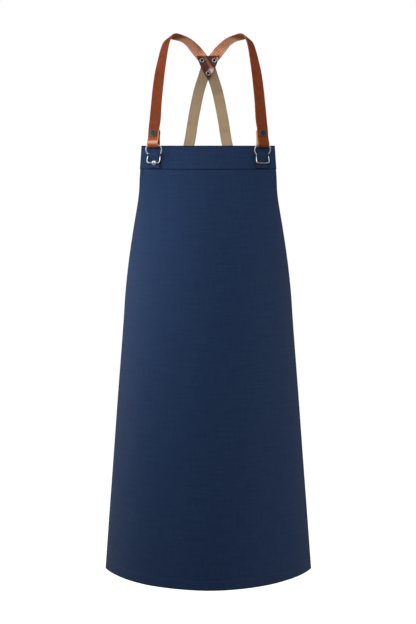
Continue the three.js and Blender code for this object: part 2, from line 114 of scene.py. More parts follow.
# %% [markdown]
# ## The cloth's curve
# Each level of the apron is an arc of a circle. The table gives how far its edges lie out from the
# middle, how far they wrap back, and how far the middle leans forward. Between the rows a cubic
# with averaged slopes keeps the sides smooth, as the CAD source does.

# %% The arc at any drop below the bib's top
PANEL_SECTIONS = [  # drop, half width, wrap, lead
    (0, 128.2, 28, 0), (40, 131.4, 34, 1), (100, 138, 52, 2), (160, 149, 72, 3),
    (220, 158.6, 90, 4), (285, 166.5, 105, 5), (350, 171.6, 111, 6), (535, 187.5, 124, 9),
    (705, 201.3, 133, 11), (875, 215.2, 140, 12),
]


def cubic(a, b, near, far, t):
    """The place and the slope at t on a curve from a to b with given slopes at its ends."""
    c2 = (b - a) * 3 - near * 2 - far
    c3 = (a - b) * 2 + near + far
    return a + near * t + c2 * t**2 + c3 * t**3, near + c2 * 2 * t + c3 * 3 * t**2


@lru_cache(maxsize=None)
def cloth_arc(drop):
    rows = [Vector(row[1:]) for row in PANEL_SECTIONS]
    drops = [row[0] for row in PANEL_SECTIONS]
    slopes = [(b - a) / (e - d) for a, b, d, e in zip(rows, rows[1:], drops, drops[1:])]
    first = max(k for k in range(len(drops) - 1) if drops[k] <= max(drop, 0))
    step = drops[first + 1] - drops[first]
    t = (drop - drops[first]) / step
    near = (slopes[max(first - 1, 0)] + slopes[first]) * step / 2
    far = (slopes[first] + slopes[min(first + 1, len(slopes) - 1)]) * step / 2
    half, wrap, lead = cubic(rows[first], rows[first + 1], near, far, t)[0]
    radius = (half * half + wrap * wrap) / (2 * wrap)
    return radius, lead, asin(half / radius)


def cloth_point(across, drop, proud=0.0):
    radius, lead, reach = cloth_arc(drop)
    angle = across * reach
    return Vector((
        (radius + proud) * sin(angle),
        radius - lead - (radius + proud) * cos(angle),
        -drop,
    ))


def half_arc(drop):
    radius, _, reach = cloth_arc(drop)
    return radius * reach


# %% The panel's length
PANEL_LENGTH = 875.0

# %% [markdown]
# ## Node helpers
# Every finish below is a small tree of shader nodes. These helpers add one node each, to the tree
# that their first socket is in. They set its options and either link or fill its inputs, so that a
# material reads as a short list. Patterns read the attribute "spot": where a point lies across and
# along its own cloth or leather, in metres.

# %% Add shader nodes tersely
def add(tree, kind, links=None, **options):
    node = tree.nodes.new("ShaderNode" + kind)
    for name, value in options.items():
        setattr(node, name, value)
    for socket, value in (links or {}).items():
        if isinstance(value, bpy.types.NodeSocket):
            tree.links.new(value, node.inputs[socket])
        else:
            node.inputs[socket].default_value = value
    return node


def calc(operation, a, b=0.0, c=0.0):
    return add(a.id_data, "Math", {0: a, 1: b, 2: c}, operation=operation).outputs[0]


def times(a, b):
    return calc("MULTIPLY", a, b)


def mix(factor, a, b):
    return add(factor.id_data, "Mix", {0: factor, 6: a, 7: b}, data_type="RGBA").outputs[2]


def ramp(value, start, end, low=0.0, high=1.0, shape="LINEAR"):
    """Low at the start, high at the end, and level beyond both."""
    return add(value.id_data, "MapRange", {0: value, 1: start, 2: end, 3: low, 4: high},
               interpolation_type=shape).outputs[0]


def soft_ramp(value, *ends):
    return ramp(value, *ends, shape="SMOOTHSTEP")


def noise(vector, scale, detail):
    return add(vector.id_data, "TexNoise", {
        "Vector": vector, "Scale": scale, "Detail": detail}).outputs[0]


def stretch(vector, scale, turn=0.0):
    return add(vector.id_data, "Mapping", {
        "Vector": vector, "Rotation": (0.0, 0.0, turn), "Scale": scale}).outputs[0]


def split(vector):
    return add(vector.id_data, "SeparateXYZ", {0: vector}).outputs


def object_place(tree):
    return add(tree, "TexCoord").outputs["Object"]


# %% Start a finish or an effect
def colour(red, green, blue):
    """A screen colour of 0 to 255, in the linear light that Blender works in."""
    def linear(c):
        c /= 255
        return c / 12.92 if c <= 0.04045 else ((c + 0.055) / 1.055) ** 2.4
    return (linear(red), linear(green), linear(blue), 1.0)


def effect(name, *inputs):
    """An empty node group. The input called Spot is a place, and the others are numbers."""
    tree = bpy.data.node_groups.new(name, "ShaderNodeTree")
    for label in inputs:
        kind = "NodeSocketVector" if label == "Spot" else "NodeSocketFloat"
        tree.interface.new_socket(label, in_out="INPUT", socket_type=kind)
    return tree, tree.nodes.new("NodeGroupInput").outputs


def put_out(tree, **values):
    for label in values:
        tree.interface.new_socket(label, in_out="OUTPUT", socket_type="NodeSocketFloat")
    result = tree.nodes.new("NodeGroupOutput")
    for label, value in values.items():
        tree.links.new(value, result.inputs[label])
    print("made effect", tree.name)


def use_effect(tree, group, **inputs):
    return add(tree, "Group", inputs, node_tree=group).outputs


def finish_of(name, roughness=0.5, metallic=0.0, **settings):
    material = bpy.data.materials.new(name)
    material.use_nodes = True
    tree = material.node_tree
    shader = tree.nodes["Principled BSDF"]
    settings.update(Roughness=roughness, Metallic=metallic)
    for label, value in settings.items():
        shader.inputs[label.replace("_", " ")].default_value = value
    spot = add(tree, "Attribute", attribute_name="spot")
    return material, tree, shader, spot.outputs["Vector"]


def feed(shader, **values):
    for label, value in values.items():
        shader.id_data.links.new(value, shader.inputs[label.replace("_", " ")])


def raise_relief(shader, height, distance, strength):
    bump = add(shader.id_data, "Bump", {
        "Height": height, "Distance": distance, "Strength": strength})
    feed(shader, Normal=bump.outputs[0])


# %% [markdown]
# ## Shared effects
# Twill has fine diagonal ribs, and its yarns swell and thin out in both directions, which weavers
# call slubs. The cloth and the webbing share it. Leather has a pebbled grain with pores; the straps
# and the patch share that. Plated metal has fine rubbing marks and cloudy patina. Each effect is a
# node group that puts out only masks and heights.

# %% Twill weave
YARN_LENGTH = 60.0
SLUB_SCALE = 280.0
SLUB_STRETCH = ((0.07, 1.0, 1.0), (1.0, 0.1, 1.0))

weave, given = effect("twill_weave", "Spot", "Pitch", "Yarn")
parts = split(given["Spot"])
turns = calc("DIVIDE", calc("ADD", parts[0], parts[1]), given["Pitch"])
rib = ramp(calc("SINE", times(turns, 2 * pi)), -1.0, 1.0)
warp_and_weft = []
for scales in ((given["Yarn"], YARN_LENGTH), (YARN_LENGTH, given["Yarn"])):
    along, across = (times(parts[k], scales[k]) for k in (0, 1))
    drawn_out = add(weave, "CombineXYZ", {0: along, 1: across, 2: parts[2]}).outputs[0]
    warp_and_weft.append(noise(drawn_out, 1.0, 2.0))
yarns = times(calc("ADD", *warp_and_weft), 0.5)
slubs = [noise(stretch(given["Spot"], scale), SLUB_SCALE, 2.5) for scale in SLUB_STRETCH]
slub = calc("MULTIPLY_ADD", slubs[1], 0.45, times(slubs[0], 0.55))
put_out(weave, Height=calc("MULTIPLY_ADD", rib, 0.6, yarns), Shade=yarns, Slub=slub)

# %% Hide grain
FINE_AND_CLOUD = ((2.5, 3.0), (0.07, 4.0))  # share of the pebbles' scale, detail

grain, given = effect("hide_grain", "Spot", "Scale")
pebbles = add(grain, "TexVoronoi", {"Vector": given["Spot"], "Scale": given["Scale"]},
              feature="DISTANCE_TO_EDGE").outputs["Distance"]
fine, clouds = (noise(given["Spot"], times(given["Scale"], share), detail)
                for share, detail in FINE_AND_CLOUD)
put_out(grain, Height=calc("MULTIPLY_ADD", fine, 0.5, pebbles),
        Pores=ramp(pebbles, 0, 1, 1.0, 0.0), Cloud=clouds)

# %% Rubbed plate
PATINA_SHARE = 0.35

plate, given = effect("rubbed_plate", "Scale")
where = object_place(plate)
put_out(plate, Scratch=noise(stretch(where, (1.0, 1.0, 9.0)), given["Scale"], 3.0),
        Patina=noise(where, times(given["Scale"], PATINA_SHARE), 5.0))

# %% [markdown]
# ## Cloth and thread
# The apron's twill is a deep navy with a soft, dry face. The ribs are finer than a pixel in the
# picture, so they mostly soften the light, and the slubs give the cloth its flecks. A painted shade
# darkens the cloth close to every folded edge, which draws the thin dark line round the apron.

# %% Navy twill
NAVY = colour(33, 58, 96)
NAVY_DARK = colour(23, 47, 82)
NAVY_EDGE_SHADE = colour(14, 27, 52)
TWILL_PITCH = 0.0009
TWILL_YARN = 1600.0
EDGE_SHADE_LINE = (0.0008, 0.0026)

twill, tree, shader, spot = finish_of(
    "navy_twill", roughness=0.85, Sheen_Weight=0.14, Sheen_Roughness=0.4, Specular_IOR_Level=0.25)
cloth_face = use_effect(tree, weave, Spot=spot, Pitch=TWILL_PITCH, Yarn=TWILL_YARN)
tone = calc("MULTIPLY_ADD", cloth_face["Slub"], 2.3,
            calc("MULTIPLY_ADD", cloth_face["Shade"], 0.7, -1.12))
body = mix(tone, NAVY_DARK, NAVY)
to_edge = add(tree, "Attribute", attribute_name="edge").outputs["Fac"]
# Painted shade: the cloth darkens within a few millimetres of each folded edge.
feed(shader, Base_Color=mix(soft_ramp(to_edge, *EDGE_SHADE_LINE, 1.0, 0.0), body, NAVY_EDGE_SHADE))
raise_relief(shader, cloth_face["Height"], 0.00012, 0.6)

# %% Navy thread
TWIST_SCALE = 900.0
thread, tree, shader, _ = finish_of(
    "navy_thread", roughness=0.6, Sheen_Weight=0.1, Specular_IOR_Level=0.4)
twist = add(tree, "TexWave", {"Vector": object_place(tree), "Scale": TWIST_SCALE, "Distortion": 1.0},
            bands_direction="DIAGONAL").outputs["Fac"]
feed(shader, Base_Color=mix(twist, colour(40, 55, 88), colour(58, 74, 108)))
raise_relief(shader, twist, 0.00008, 0.6)
print("made finishes", twill.name, thread.name)

# %% [markdown]
# ## Strap leather
# One strap shows three surfaces: a smooth chestnut grain outside, a pale fibrous flesh side inside
# and raw cut edges between them. All three share one material. "spot" tells them apart: its third
# number is 0 on the grain and 1 on the flesh, and its first is the distance from the middle. Light
# and shade are painted in: painted light and a highlight on the left strap's fold and its inner
# edge at the foot, painted shade on the flesh side near the shoulder, and on the tucked ends a
# painted shadow on the left strap and painted light on the right.

# %% Strap leather, the grain side
STRAP_WIDTH = 21.0
FOLD_BAND = 0.0502
# Painted light on the left strap's fold: a broad lift where it curves under, and a highlight.
FOLD_LIGHTS = (  # reach, core, weight, tint
    (0.015, 0.006, 0.6, colour(178, 94, 58)), (0.0046, 0.001, 0.5, colour(246, 200, 180)))
FOOT_RUN = 0.0595
INNER_EDGE = (0.0082, 0.0094)

strap_leather, tree, shader, spot = finish_of(
    "chestnut_leather", roughness=0.45, Specular_IOR_Level=0.05)
hide = use_effect(tree, grain, Spot=spot, Scale=1500.0)
parts = split(spot)
place = split(object_place(tree))
on_left = calc("LESS_THAN", place[0], 0.0)
chestnut = mix(hide["Cloud"], colour(116, 52, 28), colour(150, 78, 48))
chestnut = mix(times(hide["Pores"], 0.25), chestnut, colour(84, 34, 18))
from_fold = calc("ABSOLUTE", calc("SUBTRACT", parts[1], FOLD_BAND))
for reach, core, weight, tint in FOLD_LIGHTS:
    fold_light = soft_ramp(from_fold, reach, core, 0.0, weight)
    chestnut = mix(times(fold_light, on_left), chestnut, tint)
at_foot = calc("COMPARE", parts[1], FOOT_RUN, FOOT_RUN * 0.25)
# A painted highlight along the left strap's inner cut edge at the foot.
edge_highlight = times(times(soft_ramp(parts[0], *INNER_EDGE), at_foot), on_left)
chestnut = mix(times(edge_highlight, 0.85), chestnut, colour(232, 160, 118))

# %% Strap leather, the flesh side
NAP_PITCH = 0.0098
SHOULDER_SHADE_DEPTHS = ((0.036, 0.012), (-0.06, -0.04))
TUCKED_RUN = (0.034, 0.03)

fibre = noise(stretch(spot, (1.0, 0.25, 1.0)), 1400.0, 4.0)
slants = [calc(slant, parts[0], parts[1]) for slant in ("ADD", "SUBTRACT")]
nap = times(*(calc("SINE", times(slant, 2 * pi / NAP_PITCH)) for slant in slants))
flesh = mix(calc("MULTIPLY_ADD", nap, 0.9, fibre), colour(180, 112, 83), colour(234, 174, 138))
# Painted shade on the flesh side near the shoulder, where it faces down.
shoulder_shade = times(*(soft_ramp(place[1], *ends) for ends in SHOULDER_SHADE_DEPTHS))
flesh = mix(times(shoulder_shade, 0.85), flesh, colour(92, 46, 28))
# Painted shadow on the left strap's tucked end, painted light on the right one.
tucked_light_and_shade = mix(on_left, colour(252, 206, 166), colour(48, 26, 18))
flesh = mix(times(ramp(parts[1], *TUCKED_RUN), 0.75), flesh, tucked_light_and_shade)

# %% Strap leather, both sides and the cut edge
CUT_EDGE = ((STRAP_WIDTH / 2 - 0.3) * MM, (STRAP_WIDTH / 2 - 0.1) * MM)

inside = ramp(parts[2], 0.45, 0.55)
cut_edge = ramp(calc("ABSOLUTE", parts[0]), *CUT_EDGE)
surface = mix(inside, chestnut, flesh)
feed(shader, Base_Color=mix(cut_edge, surface, colour(168, 98, 64)))
rough_side = calc("MAXIMUM", inside, cut_edge)
smooth_side = ramp(hide["Cloud"], 0, 1, 0.4, 0.52)
feed(shader, Roughness=add(tree, "Mix", {0: rough_side, 2: smooth_side, 3: 0.88}).outputs[0])
relief = add(tree, "Mix", {0: rough_side, 2: hide["Height"], 3: fibre}).outputs[0]
raise_relief(shader, relief, 0.00012, 0.55)
print("made finish", strap_leather.name)

# %% [markdown]
# ## Patch leather
# The patch is a darker leather with the same grain. In the picture it shines pale beside the crease
# and in two round places. A gloss would move with every light, so the shine is a painted highlight
# in the colour: a faint streak and two soft spots.

# %% Patch leather
CREASE_START = -8.6
CREASE_LEAN = 0.64
CREASE_LINE = (0.0056, 0.0008)
STREAK_FADE = (-0.012, -0.026, 0.14, 0.24)
SHINE_SPOTS = (  # centre, reach, weight
    ((0.0186, -0.0066, 0.0), 0.0056, 0.7), ((0.0074, -0.0305, 0.0), 0.0105, 0.95))

patch_leather, tree, shader, spot = finish_of(
    "oxblood_leather", roughness=0.42, Specular_IOR_Level=0.12)
hide = use_effect(tree, grain, Spot=spot, Scale=1100.0)
oxblood = mix(hide["Cloud"], colour(74, 29, 18), colour(116, 52, 34))
oxblood = mix(times(hide["Pores"], 0.3), oxblood, colour(38, 16, 12))
parts = split(spot)
# Painted highlight: a pale streak beside the crease and two soft spots.
from_crease = calc("MULTIPLY_ADD", parts[1], CREASE_LEAN,
                   calc("SUBTRACT", parts[0], CREASE_START * MM))
pale = times(soft_ramp(calc("ABSOLUTE", from_crease), *CREASE_LINE),
             soft_ramp(parts[1], *STREAK_FADE))
for centre, reach, weight in SHINE_SPOTS:
    away = add(tree, "VectorMath", {0: spot, 1: centre}, operation="DISTANCE").outputs["Value"]
    pale = calc("MAXIMUM", pale, soft_ramp(away, reach, 0.001, 0.0, weight))
pale = times(pale, ramp(hide["Pores"], 0, 1, 0.5, 1.0))
feed(shader, Base_Color=mix(pale, oxblood, colour(240, 196, 186)))
feed(shader, Roughness=ramp(hide["Cloud"], 0, 1, 0.36, 0.48))
raise_relief(shader, hide["Height"], 0.00014, 0.5)
print("made finish", patch_leather.name)

# %% [markdown]
# ## Webbing cotton
# The webbing is cotton in a herringbone: the twill's diagonal turns back every few millimetres
# across the width. The same weave effect makes its ribs when the across coordinate folds back and
# forth, and slanting streaks stand for the yarns. Its woven borders are a little darker, and painted
# shade darkens the end near the patch.

# %% Khaki webbing
WEBBING_WIDTH = 22.0
HERRINGBONE = WEBBING_WIDTH / 4 * MM
RIB_PITCH = 0.0048
STREAK_SLANT = radians(38)
SHADE_NEAR_PATCH = (0.085, 0.03)
SELVEDGE = (0.0091, 0.0101)

webbing_cotton, tree, shader, spot = finish_of(
    "herringbone_cotton", roughness=0.9, Sheen_Weight=0.15, Sheen_Roughness=0.5,
    Specular_IOR_Level=0.2)
parts = split(spot)
folded = calc("PINGPONG", calc("ADD", parts[0], WEBBING_WIDTH / 2 * MM), HERRINGBONE)
own_yarns = calc("LESS_THAN", split(object_place(tree))[0], 0.0)
herring = add(tree, "CombineXYZ", {0: parts[1], 1: folded, 2: own_yarns}).outputs[0]
web_face = use_effect(tree, weave, Spot=herring, Pitch=RIB_PITCH, Yarn=900.0)
streaks = noise(stretch(herring, (0.2, 1.0, 1.0), STREAK_SLANT), 420.0, 2.0)
web_tone = calc("MULTIPLY_ADD", streaks, 1.7,
                calc("MULTIPLY_ADD", web_face["Height"], 1.1, -0.95))
khaki = mix(web_tone, colour(94, 77, 57), colour(192, 166, 133))
# Painted shade: the webbing darkens towards the patch.
khaki = mix(ramp(parts[1], *SHADE_NEAR_PATCH, 0.0, 0.3), khaki, colour(74, 58, 42))
selvedge = ramp(calc("ABSOLUTE", parts[0]), *SELVEDGE)
feed(shader, Base_Color=mix(times(selvedge, 0.45), khaki, colour(118, 96, 68)))
raise_relief(shader, web_face["Height"], 0.00025, 0.7)
print("made finish", webbing_cotton.name)

# %% [markdown]
# ## Metals
# The buckles and the left stud are bright nickel plate. The snaps have a dark antique plate,
# which is lighter at their rims. The right stud is the same nickel stud, and its dark antique plate
# is painted shade. The rivets are a grey ring plate, and their open middles are painted almost
# black, a painted shade in the hole. All three share one effect of rubbing marks and patina.

# %% Bright nickel, antique gunmetal and ring plate
LIGHTER_RIM = (0.0046, 0.0062)
RIVET_HOLE = (0.0019, 0.0023)


def plated(name, scale, dark, light, relief, **settings):
    """A plate's finish, its shader, patina and tint, and the distance from the piece's axis."""
    material, tree, shader, spot = finish_of(name, **settings)
    wear = use_effect(tree, plate, Scale=scale)
    raise_relief(shader, wear["Scratch"], *relief)
    patina = wear["Patina"]
    return material, shader, patina, mix(patina, dark, light), split(spot)[0]


nickel, shader, patina, tint, _ = plated(
    "nickel_plate", 700.0, colour(184, 182, 174), colour(226, 224, 218), (0.00002, 0.25),
    roughness=0.42, metallic=1.0)
feed(shader, Base_Color=tint, Roughness=ramp(patina, 0, 1, 0.48, 0.36))

gunmetal, shader, patina, tint, from_axis = plated(
    "gunmetal_plate", 900.0, colour(40, 31, 27), colour(66, 54, 47), (0.00003, 0.35),
    roughness=0.55, metallic=0.25, Specular_IOR_Level=0.3)
# Lighter towards the rim.
tint = mix(ramp(from_axis, *LIGHTER_RIM, 0.0, 0.8), tint, colour(98, 88, 78))
feed(shader, Base_Color=tint, Roughness=ramp(patina, 0, 1, 0.64, 0.5))

ring_plate, shader, _, tint, from_axis = plated(
    "ring_plate", 900.0, colour(88, 96, 92), colour(146, 154, 148), (0.00003, 0.3),
    roughness=0.4, metallic=1.0)
# The rivet's open middle is painted almost black: painted shade in the hole.
feed(shader, Base_Color=mix(ramp(from_axis, *RIVET_HOLE, 1.0, 0.0), tint, colour(6, 6, 7)))
print("made finishes", nickel.name, gunmetal.name, ring_plate.name)

# %% [markdown]
# ## From a grid to a cloth wall
# Cloth, leather and webbing are all thin walls with two faces. A grid is the natural start: it is
# extruded once, so it has an outer and an inner face joined at the rim, and then every vertex is
# moved to its place. Each vertex keeps its "spot" and its distance from the nearest folded edge,
# for the finishes to read.

# %% Make a thin wall
def face_outward(bm):
    bmesh.ops.recalc_face_normals(bm, faces=bm.faces[:])


def new_verts(made):
    return [part for part in made["geom"] if isinstance(part, bmesh.types.BMVert)]


def thin_wall(columns, rows, place_of):
    bm = bmesh.new()
    spot_layer = bm.verts.layers.float_vector.new("spot")
    edge_layer = bm.verts.layers.float.new("edge")
    bmesh.ops.create_grid(bm, x_segments=columns, y_segments=rows, size=0.5)
    for vert in bm.verts:
        vert[spot_layer] = (round((vert.co.x + 0.5) * columns), round((vert.co.y + 0.5) * rows), 0)
    made = bmesh.ops.extrude_face_region(bm, geom=bm.faces[:])
    for vert in new_verts(made):
        vert[spot_layer].z = 1
    for vert in bm.verts:
        column, row, face = (int(round(n)) for n in vert[spot_layer])
        place, along, across, edge = place_of(column, row, face)
        vert.co = in_frame(place)
        vert[spot_layer] = (across * MM, along * MM, face)
        vert[edge_layer] = edge * MM
    face_outward(bm)
    return bm


def rounded(distance, radius):
    """How far a wall's face still is from its full height, close to a rounded edge."""
    if distance >= radius:
        return 0.0
    return radius - sqrt(radius * radius - (radius - distance) ** 2)


# %% Keep a piece
def mesh_from(bm, name):
    mesh = bpy.data.meshes.new(name)
    bm.to_mesh(mesh)
    bm.free()
    return mesh


def keep(bm, name, finish, slot, *nodes, sharp_from=180):
    mesh = mesh_from(bm, name)
    mesh.materials.append(finish)
    mesh.shade_smooth()
    if sharp_from < 180:
        mesh.set_sharp_from_angle(angle=radians(sharp_from))
    piece = into_scene(name, mesh)
    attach(piece, "root")
    if nodes:
        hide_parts(*nodes)
    mesh.calc_loop_triangles()
    print(f"{name}: {len(mesh.loop_triangles)} triangles")
    return piece


# %% [markdown]
# ## The cloth panel
# Bib and skirt are one cut of cloth. Its sides are turned in once and stitched, and so is the
# bottom, which makes the edges round and a little thicker. The grid has close columns and rows at
# the hems and below the band, for the stitch grooves, and wide ones elsewhere. A real skirt is
# never a perfect arc, so slow waves of about a millimetre run down it, and the bib's sides bend in
# a little below the band.

# %% Lay out the panel's columns and rows
CLOTH_WALL = 1.2
HEM_TURN = 0.7
SIDE_HEM = 9.5
BOTTOM_HEM = 20.0
BAND_HEIGHT = 44.4
SEAM_ROWS = (47.4, 52.2)
EDGE_STEPS = [0.0, 0.15, 0.4, 0.8, 1.6, 3.2, 5.6, 7.6, 8.6, 9.5, 10.4, 11.6, 14.0]
MIDDLE_COLUMNS = 60

upper_drops = [1.7, 20.0, 38.0, 43.0, 44.5, 46.0, 46.8, 47.4, 48.0, 49.0, 50.4, 51.6, 52.2, 52.8,
               54.0, 56.5, 60.0]
hem_drops = [PANEL_LENGTH - d for d in
             (26, 23, 21.4, 20.6, 20, 19.4, 18.4, 15, 10, 6, 3, 1.6, 0.8, 0.4, 0.15, 0)]
panel_drops = upper_drops + spread(60.0, PANEL_LENGTH - 26, 160)[1:-1] + hem_drops


def columns_for(edges):
    return 2 * (len(edges) - 1) + MIDDLE_COLUMNS


def across_at(column, drop, edges):
    """How far across a column lies: close columns at both edges, even ones between them."""
    half = half_arc(drop)
    last = len(edges) - 1
    columns = columns_for(edges)
    if column <= last:
        return -1 + edges[column] / half
    if column >= columns - last:
        return 1 - edges[columns - column] / half
    share = (column - last) / MIDDLE_COLUMNS
    return (2 * share - 1) * (1 - edges[-1] / half)


def from_side(across, drop):
    return (1 - abs(across)) * half_arc(drop)


print("panel grid:", columns_for(EDGE_STEPS), "columns by", len(panel_drops) - 1, "rows")

# %% Waves, grooves and puckers
WAVE_HEIGHT = 0.7
RIPPLE_HEIGHT = 0.18
SIDE_CURL = 2.4
GROOVE_DEPTH = 0.28
PUCKER = 0.07
SEAM_RIDGE = 0.3


def drape(across, drop):
    grown = ease(drop, 60, 700)
    curl = 1 - ease(from_side(across, drop), -12, 26)
    curl *= ease(drop, 56, 90) * (1 - ease(drop, 120, 330))
    slow = sin(2.6 * pi * across + 0.8) + 0.5 * sin(4.3 * pi * across - drop / 190)
    fine = sin(9.1 * pi * across + drop / 75) * sin(drop / 130 + 3 * across)
    return grown * (WAVE_HEIGHT * slow + RIPPLE_HEIGHT * fine) - SIDE_CURL * curl


def panel_relief(across, drop):
    """Waves, stitch grooves, puckers and the seam's ridge on the cloth's front."""
    run = across * half_arc(drop)
    side = from_side(across, drop)
    bottom = PANEL_LENGTH - drop
    groove = bump_at(side, SIDE_HEM, 0.8) + bump_at(bottom, BOTTOM_HEM, 0.8)
    groove += sum(bump_at(drop, row, 0.7) for row in SEAM_ROWS)
    pucker = bump_at(side, SIDE_HEM, 4) * sin(drop * 0.9)
    pucker += bump_at(bottom, BOTTOM_HEM, 4) * sin(run * 0.9)
    pucker += bump_at(drop, 50, 6) * sin(run * 0.8)
    ridge = SEAM_RIDGE * bump_at(drop, sum(SEAM_ROWS) / 2, 1.9)
    return drape(across, drop) - GROOVE_DEPTH * groove + PUCKER * pucker + ridge


# %% Make the panel
EDGE_ROUND = 0.9
HEM_STEP = 0.9


def panel_place(column, row, face):
    drop = panel_drops[len(panel_drops) - 1 - row]
    across = across_at(column, drop, EDGE_STEPS)
    side = from_side(across, drop)
    bottom = PANEL_LENGTH - drop
    edge = min(side, bottom)
    round_off = rounded(edge, EDGE_ROUND)
    if face:
        turned_in = max(1 - ease(side, SIDE_HEM, SIDE_HEM + HEM_STEP),
                        1 - ease(bottom, BOTTOM_HEM, BOTTOM_HEM + HEM_STEP))
        turned_in *= ease(drop, BAND_HEIGHT, BAND_HEIGHT + 4)
        proud = drape(across, drop) - CLOTH_WALL - HEM_TURN * turned_in + round_off
    else:
        proud = panel_relief(across, drop) - round_off
    return cloth_point(across, drop, proud), -drop, across * half_arc(drop), edge


panel = keep(thin_wall(columns_for(EDGE_STEPS), len(panel_drops) - 1, panel_place),
             "panel_cloth", twill, "navy_cloth", "apron_panel")

# %% [markdown]
# ## The top band
# A separate strip is folded over the bib's top edge and caught in a seam. Its mid-line runs up the
# front, over a small round fold and down the inside; the wall gets half a millimetre either way.
# Its lower front edge stands a little proud of the bib; its shadow and the painted shade along
# that edge draw the seam.

# %% The band's mid-line
BAND_WALL = 1.0
BAND_FRONT = 0.8
BAND_BACK = -2.0
FOLD_RADIUS = (BAND_FRONT - BAND_BACK) / 2
FOLD_RISE = 0.7
FOLD_CENTRE = FOLD_RADIUS + BAND_WALL / 2 - FOLD_RISE
BAND_EDGES = [0.0, 0.15, 0.35, 0.7, 1.5, 3.0]

front_line = [(BAND_FRONT, BAND_HEIGHT - d) for d in BAND_EDGES]
front_line += [(BAND_FRONT, d) for d in spread(BAND_HEIGHT - 3, FOLD_CENTRE, 10)[1:]]
fold_line = arc((BAND_FRONT - FOLD_RADIUS, FOLD_CENTRE), FOLD_RADIUS, 0, -180, 10)[1:-1]
back_line = [(BAND_BACK, drop) for _, drop in reversed(front_line)]
band_line = front_line + fold_line + back_line

# %% Make the band
BAND_ROUND = 0.42
BAND_WAVE = 0.12
FAR_FROM_END = 99.0


def band_place(column, row, face):
    proud, drop = band_line[row]
    ahead, behind = band_line[min(row + 1, len(band_line) - 1)], band_line[max(row - 1, 0)]
    step = Vector((ahead[0] - behind[0], ahead[1] - behind[1])).normalized()
    outward = Vector((-step.y, step.x))
    across = across_at(column, drop, BAND_EDGES)
    side = from_side(across, drop)
    end = min(row, len(band_line) - 1 - row)
    from_end = BAND_EDGES[end] if end < len(BAND_EDGES) else FAR_FROM_END
    wall = BAND_WALL / 2 - max(rounded(side, BAND_ROUND), rounded(from_end, BAND_ROUND))
    run = across * half_arc(drop)
    wave = BAND_WAVE * sin(run * 0.31) * ease(drop, 25, BAND_HEIGHT) if proud > 0 else 0.0
    offset = outward * (wall if face == 0 else -wall)
    edge = min(side, max(drop, 0.6), from_end + 0.4 if proud > 0 else side)
    length = drop if proud > -0.6 else -drop
    return cloth_point(across, drop + offset.y, proud + offset.x + wave), -length, run, edge


band = keep(thin_wall(columns_for(BAND_EDGES), len(band_line) - 1, band_place),
            "band_cloth", twill, "navy_cloth", "top_band")

# %% [markdown]
# ## Smooth lines through stations
# Straps, wires and webbing follow tables of stations. A centripetal Catmull-Rom line passes through
# each one without overshooting where they stand close together, and it is the same line that the
# CAD source uses.

# %% A smooth line and its direction
def smooth_line(points, closed=False):
    count = len(points)
    spans = count if closed else count - 1

    def station(k):
        if closed:
            return points[k % count]
        if k < 0:
            return points[0] * 2 - points[1]
        if k >= count:
            return points[-1] * 2 - points[-2]
        return points[k]

    def at(place):
        first = min(int(place), spans - 1)
        t = place - first
        before, a, b, after = (station(first + k) for k in (-1, 0, 1, 2))
        d0, d1, d2 = (sqrt((q - p).length) for p, q in ((before, a), (a, b), (b, after)))
        near = ((a - before) / d0 - (b - before) / (d0 + d1) + (b - a) / d1) * d1
        far = ((b - a) / d1 - (after - a) / (d1 + d2) + (after - b) / d2) * d1
        point, slope = cubic(a, b, near, far, t)
        return point, slope.normalized()

    return at, spans


# %% [markdown]
# ## Buckles, tabs and studs
# Each fitting sits on the band and is turned with it, so it is modelled in a frame of its own: X
# across, Y back into the band, Z up. The buckle is one bent wire with a soldered centre bar. A
# curve with a round bevel makes it best, and it is turned into a mesh before it is placed. Small
# beads of solder close the joints.

# %% The fitting's own frame
FITTING_OUT = 102.2
FITTING_DROP = 16.8
BAND_FACE = 1.3
SIDES = {"left": -1, "right": 1}


def fitting_frame(side):
    radius, _, reach = cloth_arc(FITTING_DROP)
    turn = asin(FITTING_OUT / radius)
    seat = cloth_point(side * turn / reach, FITTING_DROP, BAND_FACE)
    return Matrix.Translation(seat) @ Matrix.Rotation(side * turn, 4, "Z")


def place_mesh(bm, matrix):
    """Move a bmesh from a fitting's millimetres into the frame's metres."""
    bm.transform(matrix)
    for vert in bm.verts:
        vert.co = in_frame(vert.co)


# %% The wire's line
WIRE_RADIUS = 1.05
BAR_BACK = -3.15
TOP_BAR = (18.9, 5.5)
LOW_BAR = (15.2, 7.6)
BAR_REACH = 10.7
WIRE_HALF = [  # out, rise
    (0, TOP_BAR[0]), (10.3, TOP_BAR[0]), (14.3, 15.7), (16.2, 9.2), (14.4, 3.5), (BAR_REACH, 0),
    (12.6, -4.0), (12.9, -10.8), (11.9, -14.0), (8.8, -LOW_BAR[0]), (0, -LOW_BAR[0]),
]


def wire_point(out, rise):
    height, forward = TOP_BAR if rise > 0 else LOW_BAR
    return Vector((out, BAR_BACK + (-forward - BAR_BACK) * abs(rise) / height, rise))


right_half = [wire_point(*row) for row in WIRE_HALF]
left_half = [Vector((-p.x, p.y, p.z)) for p in reversed(right_half[1:-1])]
wire_at, wire_spans = smooth_line(right_half + left_half, closed=True)
wire_points = [wire_at(k / 8)[0] for k in range(wire_spans * 8)]
print("the wire has", len(wire_points), "points")


